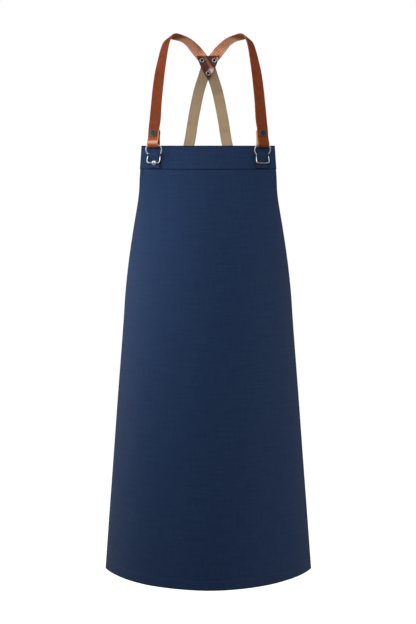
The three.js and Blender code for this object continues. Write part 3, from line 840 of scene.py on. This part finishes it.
# %% Turn a line into a round wire
def round_tube(points, radius, closed):
    curve = bpy.data.curves.new("wire", "CURVE")
    curve.dimensions = "3D"
    curve.bevel_depth = radius
    curve.bevel_resolution = 4
    curve.use_fill_caps = True
    line = curve.splines.new("POLY")
    line.points.add(len(points) - 1)
    for knot, point in zip(line.points, points):
        knot.co = (*point, 1.0)
    line.use_cyclic_u = closed
    holder = bpy.data.objects.new("wire", curve)
    mesh = bpy.data.meshes.new_from_object(holder)
    bm = bmesh.new()
    bm.from_mesh(mesh)
    bpy.data.objects.remove(holder)
    bpy.data.curves.remove(curve)
    bpy.data.meshes.remove(mesh)
    return bm


def join_into(bm, other):
    mesh = mesh_from(other, "part")
    bm.from_mesh(mesh)
    bpy.data.meshes.remove(mesh)


# %% Make the buckles
SOLDER_BEAD = 1.45
BAR_SHARE = 0.97

for name, side in SIDES.items():
    bm = round_tube(wire_points, WIRE_RADIUS, closed=True)
    bar_ends = [Vector((x, BAR_BACK, 0)) for x in spread(-BAR_REACH, BAR_REACH, 8)]
    join_into(bm, round_tube(bar_ends, WIRE_RADIUS * BAR_SHARE, closed=False))
    for end in (-BAR_REACH, BAR_REACH):
        bead = Matrix.Translation((end, BAR_BACK, 0)) @ Matrix.Diagonal((1.0, 0.85, 1.15, 1))
        bmesh.ops.create_icosphere(bm, subdivisions=2, radius=SOLDER_BEAD, matrix=bead)
    bmesh.ops.remove_doubles(bm, verts=bm.verts[:], dist=1e-4)
    face_outward(bm)
    place_mesh(bm, fitting_frame(side))
    keep(bm, f"wire_buckle_{name}", nickel, "bright_nickel", f"buckle_{name}")

# %% [markdown]
# ## Cloth tabs
# A short strip of the same twill is folded round the buckle's centre bar. Its two layers close
# below the bar and lie flat on the band. It is a thin wall along a smooth line, like the straps.

# %% A wall along a line
def edge_columns(width, radius, middle):
    half = width / 2
    edge = [half - d for d in (0, 0.12 * radius, 0.45 * radius, radius)]
    flat = spread(-(half - radius), half - radius, middle)[1:-1]
    return [-a for a in edge] + flat + list(reversed(edge))


def wall_along(stations, width, wall, radius, rows_each, middle,
               wave=None, round_end=0.0, flare=None):
    """A flat band along stations of (place, direction across); its first face looks outward."""
    line_at, spans = smooth_line([place for place, _ in stations])
    places = spread(0, spans, spans * rows_each)
    columns = edge_columns(width, radius, middle)
    frames, length, last = [], 0.0, None
    for place in places:
        first = min(int(place), spans - 1)
        middle_point, along = line_at(place)
        across = stations[first][1].lerp(stations[first + 1][1], place - first)
        across = (across - along * across.dot(along)).normalized()
        length += (middle_point - last).length if last else 0.0
        last = middle_point
        frames.append((middle_point, across, across.cross(along), length))

    def place_of(column, row, face):
        middle_point, across, outward, run = frames[row]
        a = columns[column]
        edge = width / 2 - abs(a)
        a *= 1 - rounded(run, round_end) / (width / 2)
        height = wall / 2 - rounded(edge, radius)
        lift = wave(a, run) if wave else 0.0
        offset = (height if face == 0 else -height) + lift
        wider = 1 + flare(run) if flare else 1.0
        return middle_point + across * a * wider + outward * offset, run, a, edge

    return thin_wall(len(columns) - 1, len(places) - 1, place_of), length


# %% Make the tabs
TAB_WIDTH = 23.4
TAB_WALL = 1.2
TAB_DROP = 25.4
TAB_BACK = -0.7
TAB_FRONT = -1.98
TAB_FOLD = 2.2
TAB_FOLD_RISE = 1.2
tab_line = [(TAB_BACK, -TAB_DROP), (TAB_BACK, -16), (TAB_BACK, -7), (TAB_BACK, -1)]
tab_line += arc((BAR_BACK, TAB_FOLD_RISE), TAB_FOLD, 0, 180, 6)
tab_line += [(BAR_BACK - 2.35, -1.6), (TAB_FRONT - 1.2, -6.2), (TAB_FRONT - 0.1, -10),
             (TAB_FRONT, -14), (TAB_FRONT, -19), (TAB_FRONT, -TAB_DROP)]

for name, side in SIDES.items():
    fitting = fitting_frame(side)
    across = (fitting.to_3x3() @ Vector((1, 0, 0))).normalized()
    stations = [(fitting @ Vector((0, y, z)), -across) for y, z in tab_line]
    bm, tab_length = wall_along(stations, TAB_WIDTH, TAB_WALL, 0.5, rows_each=4, middle=8)
    keep(bm, f"tab_cloth_{name}", twill, "navy_cloth", f"tab_{name}")
print("tab cut length", round(tab_length, 1), "mm")

# %% [markdown]
# ## Turned metal
# Studs, snaps and rivets are all turned or pressed round. A profile of a few points is spun once
# about its axis; the seam is merged, the pole is closed, and the piece is turned into its place.

# %% Spin a profile
SPIN_STEPS = 40


def turned(profile):
    bm = bmesh.new()
    spot_layer = bm.verts.layers.float_vector.new("spot")
    verts = [bm.verts.new((radius, y, 0)) for radius, y in profile]
    edges = [bm.edges.new(pair) for pair in zip(verts, verts[1:])]
    for vert in verts:
        vert[spot_layer] = (vert.co.x * MM, vert.co.y * MM, 0)
    bmesh.ops.spin(bm, geom=verts + edges, cent=(0, 0, 0), axis=(0, 1, 0), angle=2 * pi,
                   steps=SPIN_STEPS, use_merge=True)
    bmesh.ops.remove_doubles(bm, verts=bm.verts[:], dist=1e-4)
    face_outward(bm)
    return bm


def dome(radius, base, height, steps):
    pole = (0.0, base - height)
    return [pole] + [(radius * cos(radians(a)), base - height * sin(radians(a)))
                     for a in spread(90, 0, steps)[1:]]


# %% Make the studs
STUD_BASE = -3.35
STUD_STACK = 5.1
stud_profile = dome(4.8, STUD_BASE - 0.35, 2.25, 8) + [
    (4.8, STUD_BASE - 0.12), (4.6, STUD_BASE), (1.8, STUD_BASE), (1.8, STUD_STACK),
    (4.0, STUD_STACK), (4.05, STUD_STACK + 0.3), (3.6, STUD_STACK + 0.85),
    (2.2, STUD_STACK + 1.0), (0, STUD_STACK + 1.0),
]
# The right stud is the same nickel stud; its dark plate is painted shade.
STUD_PLATE_AND_SHADE = {"left": nickel, "right": gunmetal}
for name, side in SIDES.items():
    bm = turned(stud_profile)
    place_mesh(bm, fitting_frame(side) @ Matrix.Translation((0, 0, -LOW_BAR[0])))
    keep(bm, f"stud_{name}", STUD_PLATE_AND_SHADE[name], "bright_nickel", f"tab_stud_{name}", sharp_from=45)

# %% [markdown]
# ## Leather straps
# A strap comes down from the shoulder, turns round the buckle's top bar and goes up again behind
# itself, where the snap holds it. So the line starts at the free end, goes down, round the bar, up
# the front and over the shoulder to the patch. The table gives each station's place and which way
# the grain looks: "turn" is 180 facing forward, and "tilt" looks upward.

# %% The strap's stations
STRAP_WALL = 2.2
STRAP_STATIONS = [  # out, depth, rise, turn, tilt
    (101.6, 18, 50, 167, 11), (99.9, 23, 73, 165, 12), (98, 28.5, 96, 163, 14),
    (95.6, 35, 119, 161, 16), (92.8, 43, 142, 154, 18), (88.9, 53, 165, 142, 23),
    (85.2, 64, 185.2, 131, 31), (80.8, 76, 201, 116, 45), (75.9, 87.5, 209.8, 89, 54),
    (69.3, 103, 213.8, 58, 63), (58.1, 122, 212.8, 28, 65), (45, 143, 209.4, 5, 64),
    (34.4, 165, 203, -2, 57), (27.6, 185, 196.6, 3, 32), (21.6, 198.4, 190.6, 0, 12),
    (16.6, 201.5, 184.4, 0, 0), (12.2, 201.5, 179, 0, 0), (8, 201.4, 173.8, 0, 0),
    (3.4, 201.4, 168.3, 0, 0),
]
LAYER_SPACING = 4.0
LOOP_RADIUS = 5.5
LOOP_CENTRE = (0.8, 1.8)
SNAP_RISE = 22.4
TURN_UP = 31.9
LOOP_LOW = 13.8
LOW_SHIFT = 0.7
FRONT_SHIFT = 0.9


def facing(side, turn, tilt=0.0):
    turn, tilt = radians(turn), radians(tilt)
    return Vector((side * sin(turn) * cos(tilt), cos(turn) * cos(tilt), sin(tilt)))


def stations_from(places, facings):
    line_at, _ = smooth_line(places)
    return [(place, line_at(k)[1].cross(look).normalized())
            for k, (place, look) in enumerate(zip(places, facings))]


def strap_foot(side):
    """The top bar's middle and the strap's directions up, across and outward there."""
    fitting = fitting_frame(side)
    bar = fitting @ wire_point(0, TOP_BAR[0])
    forward = fitting.to_3x3() @ Vector((0, -1, 0))
    out, depth, rise = STRAP_STATIONS[0][:3]
    up = (Vector((side * out, depth, rise)) - bar - forward * LAYER_SPACING / 2).normalized()
    across = up.cross(forward).normalized()
    return bar, up, across, across.cross(up)


def loop_places():
    """The folded end, as places outward from the bar, up the strap and further out."""
    half = LAYER_SPACING / 2
    bend = [(n, t, 0.0) for n, t in arc(LOOP_CENTRE, LOOP_RADIUS, 180, 360, 6)]
    rear = [(-half, TURN_UP, 0.0), (-half, SNAP_RISE, 0.0), (-half, LOOP_LOW, 0.0)]
    front = [(half, LOOP_LOW, LOW_SHIFT), (half, SNAP_RISE, FRONT_SHIFT), (half, TURN_UP, FRONT_SHIFT)]
    return rear + bend + front


print("a strap has", len(loop_places()) + len(STRAP_STATIONS), "stations")

# %% Make the straps
STRAP_RIPPLE = 0.12
FOOT_FLARE = 0.05
FLARE_RUN = (95, 135)
END_CORNER = 7.0
TRIM_GAP = 0.3


def strap_wave(across, run):
    return STRAP_RIPPLE * sin(run / 23) * sin(across / 6 + run / 41)


def strap_flare(run):
    return FOOT_FLARE * (1 - ease(run, *FLARE_RUN))


def slice_at(bm, place, normal, dist, **options):
    everything = bm.verts[:] + bm.edges[:] + bm.faces[:]
    return bmesh.ops.bisect_plane(
        bm, geom=everything, dist=dist, plane_co=place, plane_no=normal, **options)


def trim_at_middle(bm, side):
    """Cut a strap square where the two would meet under the patch."""
    cut = slice_at(bm, (side * TRIM_GAP * MM, 0, 0), (-side, 0, 0), 1e-6, clear_outer=True)
    rim = [e for e in cut["geom_cut"] if isinstance(e, bmesh.types.BMEdge)]
    bmesh.ops.holes_fill(bm, edges=rim, sides=0)


for name, side in SIDES.items():
    bar, up, across, outward = strap_foot(side)
    stations = [(bar + outward * n + up * t + across * side * out, across)
                for n, t, out in loop_places()]
    places = [Vector((side * row[0], row[1], row[2])) for row in STRAP_STATIONS]
    looks = [facing(side, row[3], row[4]) for row in STRAP_STATIONS]
    stations += stations_from(places, looks)
    bm, strap_length = wall_along(
        stations, STRAP_WIDTH, STRAP_WALL, 0.7, rows_each=8, middle=8,
        wave=strap_wave, round_end=END_CORNER, flare=strap_flare)
    trim_at_middle(bm, side)
    keep(bm, f"strap_{name}", strap_leather, "strap_leather", f"leather_strap_{name}", sharp_from=60)
print("strap cut length", round(strap_length, 1), "mm")

# %% [markdown]
# ## Snaps
# A domed cap sits on the strap's front layer, a socket stands between the layers, and a flat rivet
# head closes the back. The cap's face stays plain, with a rolled rim and a shallow ring. It is one
# spun profile, written from the cap's middle round to the middle of the back.

# %% Make the snaps
LAYER_FACE = (LAYER_SPACING + STRAP_WALL) / 2
LAYER_INSIDE = (LAYER_SPACING - STRAP_WALL) / 2
CAP = -LAYER_FACE - 0.12
SNAP_OUT = 0.8
cap_rows = [(0, -2.25), (2.2, -2.22), (4.0, -2.08), (5.0, -1.92), (5.35, -1.7), (5.7, -1.72),
            (6.2, -1.82), (6.9, -1.62), (7.4, -1.1), (7.6, -0.6), (7.5, -0.2), (7.2, 0), (2.0, 0)]
socket_rows = [(2.0, 0.1), (3.9, 0.1), (4.2, 0.5)]
back_rows = [(2.0, 0.12), (5.5, 0.12), (5.55, 0.5), (5.0, 1.2), (2.6, 1.4), (0, 1.4)]
snap_profile = (
    [(radius, CAP + y) for radius, y in cap_rows]
    + [(radius, -LAYER_INSIDE + y) for radius, y in socket_rows]
    + [(radius, LAYER_INSIDE - y) for radius, y in reversed(socket_rows)]
    + [(radius, LAYER_FACE + y) for radius, y in back_rows])
for name, side in SIDES.items():
    bar, up, across, outward = strap_foot(side)
    axes = Matrix((across, -outward, up)).transposed().to_4x4()
    bm = turned(snap_profile)
    place_mesh(bm, Matrix.Translation(bar + up * SNAP_RISE + across * side * SNAP_OUT) @ axes)
    keep(bm, f"snap_{name}", gunmetal, "antique_gunmetal", f"strap_snap_{name}", sharp_from=40)

# %% [markdown]
# ## The back patch
# A bowed triangle of darker leather holds the straps and the webbing together. Its outline is one
# ring of vertices; filled, it is extruded, its rims are bevelled, and a grid of cuts gives its
# front enough points to bend. The rivets have pulled it in around themselves, and the leather
# swells along a crease between them.

# %% The patch's outline and swell
PATCH_SEAT = Vector((0, 198, 182.4))
PATCH_HALF = 23.5
PATCH_HEIGHT = 47.7
PATCH_WALL = 2.0
PATCH_CORNER = 2.0
PATCH_BOW = (15.4, -26.0)
RIVETS = {"left": (-12.5, -9.2), "right": (12.5, -9.2), "tip": (0.0, -35.0)}
RIVET_PULL = 0.35
PULL_REACH = 55
CREASE_HEIGHT = 0.8


def bowed(start, pull, end, steps):
    start, pull, end = Vector(start), Vector(pull), Vector(end)
    return [start * (1 - t) ** 2 + pull * 2 * t * (1 - t) + end * t * t
            for t in spread(0, 1, steps)[1:]]


def patch_outline():
    edge, corner = PATCH_HALF, PATCH_CORNER
    below = (edge - corner / 2, -corner)
    tip = (corner / 2, -PATCH_HEIGHT + corner / 2)
    line = [Vector((x, 0)) for x in spread(0, edge - corner, 8)]
    line += bowed((edge - corner, 0), (edge, 0), below, 4)
    line += bowed(below, PATCH_BOW, tip, 24)
    line += bowed(tip, (0, -PATCH_HEIGHT - corner / 2), (0, -PATCH_HEIGHT), 2)
    return line + [Vector((-p.x, p.y)) for p in reversed(line[1:-1])]


def patch_swell(x, z):
    near = sum(exp(-((x - rx) ** 2 + (z - rz) ** 2) / PULL_REACH) for rx, rz in RIVETS.values())
    crease = CREASE_HEIGHT * bump_at(x - CREASE_START + CREASE_LEAN * z, 0, 4.5)
    return RIVET_PULL * near - crease


# %% Cut the patch
RIM_BEVEL = 0.5
GRID_CUTS = 40


def is_rim(edge):
    level = abs(edge.verts[0].co.y - edge.verts[1].co.y) < 0.1
    return level and edge.calc_face_angle(0) > radians(60)


bm = bmesh.new()
spot_layer = bm.verts.layers.float_vector.new("spot")
face = bm.faces.new([bm.verts.new((p.x, 0, p.y)) for p in patch_outline()])
made = bmesh.ops.extrude_face_region(bm, geom=[face])
bmesh.ops.translate(bm, verts=new_verts(made), vec=(0, PATCH_WALL, 0))
face_outward(bm)
rims = [edge for edge in bm.edges if is_rim(edge)]
bmesh.ops.bevel(bm, geom=rims, offset=RIM_BEVEL, segments=3, profile=0.5, affect="EDGES", material=-1)
for normal, reach in ((Vector((1, 0, 0)), PATCH_HALF), (Vector((0, 0, 1)), PATCH_HEIGHT)):
    for level in spread(-reach, reach, GRID_CUTS)[1:-1]:
        slice_at(bm, normal * level, normal, 1e-5)
for vert in bm.verts:
    vert[spot_layer] = (vert.co.x * MM, vert.co.z * MM, 0)
    if vert.co.y < PATCH_WALL / 2:
        vert.co.y += patch_swell(vert.co.x, vert.co.z)
face_outward(bm)
place_mesh(bm, Matrix.Translation(PATCH_SEAT))
keep(bm, "patch_leather", patch_leather, "patch_leather", "back_patch", sharp_from=50)

# %% [markdown]
# ## Rivets
# Each rivet has a ring-shaped head with an open middle, painted dark as the shade in its hole, a
# post through the stack, and a low cap behind.

# %% Make the rivets
STACKS = {"left": 4.5, "right": 4.5, "tip": 5.8}
RIVET_HEAD = -1.5
RIVET_SLACK = 0.3
ring_rows = [(0, 1.25), (1.7, 1.25), (2.05, 1.0), (2.1, 0.45), (2.3, 0.15), (2.7, 0), (3.6, -0.1),
             (4.5, 0.02), (5.1, 0.4), (5.3, 0.85)]
low_cap_rows = [(1.5, 0), (4.5, 0), (4.5, 0.4), (3.9, 0.9), (2.4, 1.25), (0, 1.3)]


def rivet_profile(stack):
    head = [(radius, RIVET_HEAD + y) for radius, y in ring_rows]
    back = [(radius, stack + RIVET_SLACK + y) for radius, y in low_cap_rows]
    return head + [(5.2, -0.1), (1.5, 0.0)] + back


for name, (x, z) in RIVETS.items():
    bm = turned(rivet_profile(STACKS[name]))
    place_mesh(bm, Matrix.Translation(PATCH_SEAT + Vector((x, 0, z))))
    keep(bm, f"rivet_{name}", ring_plate, "antique_gunmetal", f"patch_rivet_{name}", sharp_from=40)

# %% [markdown]
# ## Webbing
# Each length of webbing starts under the patch, crosses to its own side and comes round the waist
# to the inside of the panel, where its end is sewn flat. It is a thin wall along its stations, as
# the straps are. The weave is finer than such a mesh could carry, so it is in the finish alone.

# %% Make the webbing
WEBBING_WALL = 1.6
WEBBING_STATIONS = [  # out, depth, rise, turn
    (4.1, 201.1, 157.9, 0), (6.7, 201.1, 149.6, 0), (10.2, 201.1, 138.5, 0), (14.2, 201.4, 126.5, 0),
    (17.9, 202, 114.5, 0), (23.7, 203, 90, 0), (30.7, 203, 54, 1), (38.9, 199.5, 5, 5),
    (50.2, 192.5, -33, 12), (66.4, 179, -76, 23), (87, 158, -124, 40), (108, 132, -172, 60),
    (128, 103, -220, 88),
]
WEBBING_ENDS = [  # across, drop, lift
    (0.86, 258, 6.5), (0.858, 276, 2.4), (0.855, 292, 1.0), (0.85, 304, 0.6), (0.845, 316, 0.5),
]
LAYER_STEP = {"left": 0.0, "right": 1.9}


def webbing_stations(side, step):
    behind = CLOTH_WALL + WEBBING_WALL / 2
    places = [Vector((side * out, depth + step * ease(rise, 60, 130), rise))
              for out, depth, rise, _ in WEBBING_STATIONS]
    looks = [facing(side, turn) for *_, turn in WEBBING_STATIONS]
    for across, drop, lift in WEBBING_ENDS:
        places.append(cloth_point(side * across, drop, -behind - lift))
        looks.append(facing(side, 180 - across * degrees(cloth_arc(drop)[2])))
    return stations_from(places, looks)


for name, side in SIDES.items():
    bm, webbing_length = wall_along(
        webbing_stations(side, LAYER_STEP[name]), WEBBING_WIDTH, WEBBING_WALL, 0.65,
        rows_each=10, middle=10)
    keep(bm, f"webbing_strip_{name}", webbing_cotton, "khaki_webbing", f"webbing_{name}", sharp_from=60)
print("webbing cut length", round(webbing_length, 1), "mm")

# %% [markdown]
# ## Stitching
# The stitches are real thread: short rounded lengths that dip into the cloth at both ends. One
# small ball, stretched along the row, makes each. They run along both sides, the bottom hem and
# twice under the band.

# %% One stitch and one row
STITCH = 2.5
STITCH_PITCH = 3.4
THREAD = 0.3


def sew(bm, place, along, outward):
    along = along.normalized()
    outward = (outward - along * outward.dot(along)).normalized()
    turn = Matrix((along, outward, along.cross(outward))).transposed().to_4x4()
    size = Matrix.Diagonal((STITCH / 2, THREAD, THREAD * 1.1, 1))
    bmesh.ops.create_uvsphere(bm, u_segments=6, v_segments=4, radius=1.0,
                              matrix=Matrix.Translation(place) @ turn @ size)


def cloth_outward(across, drop):
    return cloth_point(across, drop, 1.0) - cloth_point(across, drop)


def sew_cloth_row(bm, start, end, lift):
    """A row on the cloth between two places of (across, drop), following its curve."""
    def at(t):
        return start[0] + (end[0] - start[0]) * t, start[1] + (end[1] - start[1]) * t
    row = bmesh.new()
    points = [cloth_point(*at(t)) for t in spread(0, 1, 60)]
    length = sum((b - a).length for a, b in zip(points, points[1:]))
    for k in range(int(length / STITCH_PITCH)):
        t = (k + 0.5) * STITCH_PITCH / length
        across, drop = at(t)
        ahead = cloth_point(*at(min(t + 0.002, 1)))
        behind = cloth_point(*at(max(t - 0.002, 0)))
        sew(row, cloth_point(across, drop, lift(across, drop)), ahead - behind, cloth_outward(across, drop))
    join_into(bm, row)


# %% Sew the hems and the band's seam
THREAD_LIFT = 0.06
SEAM_INSET = 2.5
HEM_INSET = 3


def front_lift(across, drop):
    return panel_relief(across, drop) + THREAD_LIFT


def side_at(edge, drop, inset):
    return edge * (1 - inset / half_arc(drop)), drop


bm = bmesh.new()
for row in SEAM_ROWS:
    sew_cloth_row(bm, side_at(-1, row, SEAM_INSET), side_at(1, row, SEAM_INSET), front_lift)
hem_row = PANEL_LENGTH - BOTTOM_HEM
sew_cloth_row(bm, side_at(-1, hem_row, HEM_INSET), side_at(1, hem_row, HEM_INSET), front_lift)
for edge in (-1, 1):
    levels = spread(58.0, PANEL_LENGTH - HEM_INSET, 24)
    for top, low in zip(levels, levels[1:]):
        sew_cloth_row(bm, side_at(edge, top, SIDE_HEM), side_at(edge, low, SIDE_HEM), front_lift)
place_mesh(bm, Matrix.Identity(4))
hem_stitches = keep(bm, "hem_stitches", thread, "navy_cloth")

# %% [markdown]
# ## The webbing's sewn ends
# A strap that carries weight is sewn down with a box of stitches, so that no single row takes the
# pull. The boxes lie on the webbing inside the panel. The webbing is flat there and the cloth is
# curved, so each row is lifted to follow the webbing's face.

# %% Sew a box on each end of the webbing
BOX_HALF = 7.6
BOX_DROPS = (294.0, 313.0)


def webbing_end(drop):
    """Where the webbing's middle lies on the cloth at a drop: how far across, and its lift."""
    rows = [Vector(row) for row in WEBBING_ENDS]
    low = max(k for k in range(len(rows) - 1) if rows[k].y <= drop)
    here = rows[low].lerp(rows[low + 1], (drop - rows[low].y) / (rows[low + 1].y - rows[low].y))
    return here.x, here.z


def webbing_lift(across, drop):
    middle, lift = webbing_end(drop)
    aside = (abs(across) - middle) * half_arc(drop)
    bow = aside * aside / (2 * cloth_arc(drop)[0])
    return bow - CLOTH_WALL - WEBBING_WALL - lift


def box_corner(side, drop, offset):
    return side * (webbing_end(drop)[0] + offset / half_arc(drop)), drop


bm = bmesh.new()
top, low = BOX_DROPS
for side in SIDES.values():
    corners = [box_corner(side, drop, offset) for drop, offset in (
        (top, -BOX_HALF), (top, BOX_HALF), (low, BOX_HALF), (low, -BOX_HALF))]
    for start, end in zip(corners, corners[1:] + corners[:1]):
        sew_cloth_row(bm, start, end, webbing_lift)
place_mesh(bm, Matrix.Identity(4))
keep(bm, "webbing_stitches", thread, "navy_cloth")

# %% [markdown]
# ## How the cloth hangs
# The panel hangs from the band, and the band and tabs are folded strips.

# %% [markdown]
# ## Floor, world and light
# The picture is a high-key studio shot, white all round. A small key at the front left shapes the
# fittings, and a low one close by grazes the bib's left side. Large soft lights stand at the left
# behind and at the right, one hangs overhead, and a small one behind lifts the straps' undersides.
# The floor is plain and pale. It and the world are white to the lens but dim as lights, so that
# the cloth keeps its depth.

# %% Floor
FLOOR_LEVEL = -1.62
WHITE = (1.0, 1.0, 1.0, 1.0)


def seen_by_lens(tree):
    return add(tree, "LightPath").outputs["Is Camera Ray"]


bm = bmesh.new()
bmesh.ops.create_grid(bm, x_segments=1, y_segments=1, size=12.0)
bmesh.ops.translate(bm, verts=bm.verts[:], vec=(0, 0, FLOOR_LEVEL))
floor_mesh = mesh_from(bm, "floor")
floor = into_scene("floor", floor_mesh)
pale_floor, tree, shader, _ = finish_of(
    "pale_floor", roughness=0.9, Base_Color=(0.8, 0.8, 0.8, 1.0), Emission_Color=WHITE)
feed(shader, Emission_Strength=seen_by_lens(tree))
floor_mesh.materials.append(pale_floor)
print("floor at", FLOOR_LEVEL)

# %% White surroundings
WORLD_LIGHT = 0.03
world = bpy.data.worlds.new("studio")
bpy.context.scene.world = world
world.use_nodes = True
tree = world.node_tree
backdrop = tree.nodes["Background"]
feed(backdrop, Strength=ramp(seen_by_lens(tree), 0, 1, WORLD_LIGHT, 1.0))
backdrop.inputs["Color"].default_value = WHITE
bpy.context.scene.view_settings.view_transform = "Standard"
print("world is white to the lens, and a light of", WORLD_LIGHT)

# %% Lights
LIGHTS = {  # place, aim, width, height, power
    "key_front_left": ((-0.34, -1.4, 0.3), (0, 0, -0.3), 0.22, 0.22, 10.8),
    "left_near": ((-0.85, -0.28, -0.14), (-0.1, 0, -0.32), 0.4, 0.5, 5.2),
    "left_back": ((-1.9, 0.8, 0.2), (0, 0, -0.5), 1.0, 1.8, 15.0),
    "right_side": ((2.2, -0.3, 0.0), (0, 0, -0.5), 1.0, 1.8, 20.0),
    "overhead": ((0.0, -0.3, 1.6), (0, 0, -0.1), 1.0, 0.6, 9.0),
    "bounce_behind": ((0.0, 0.42, -1.04), (0, 0.05, -0.05), 0.24, 0.3, 4.6),
}
for name, (place, aim, width, height, power) in LIGHTS.items():
    lamp = bpy.data.lights.new(name, "AREA")
    lamp.shape = "RECTANGLE"
    lamp.size = width
    lamp.size_y = height
    lamp.energy = power
    holder = into_scene(name, lamp)
    holder.location = place
    holder.rotation_euler = (Vector(aim) - Vector(place)).to_track_quat("-Z", "Y").to_euler()
print("lights:", ", ".join(LIGHTS))
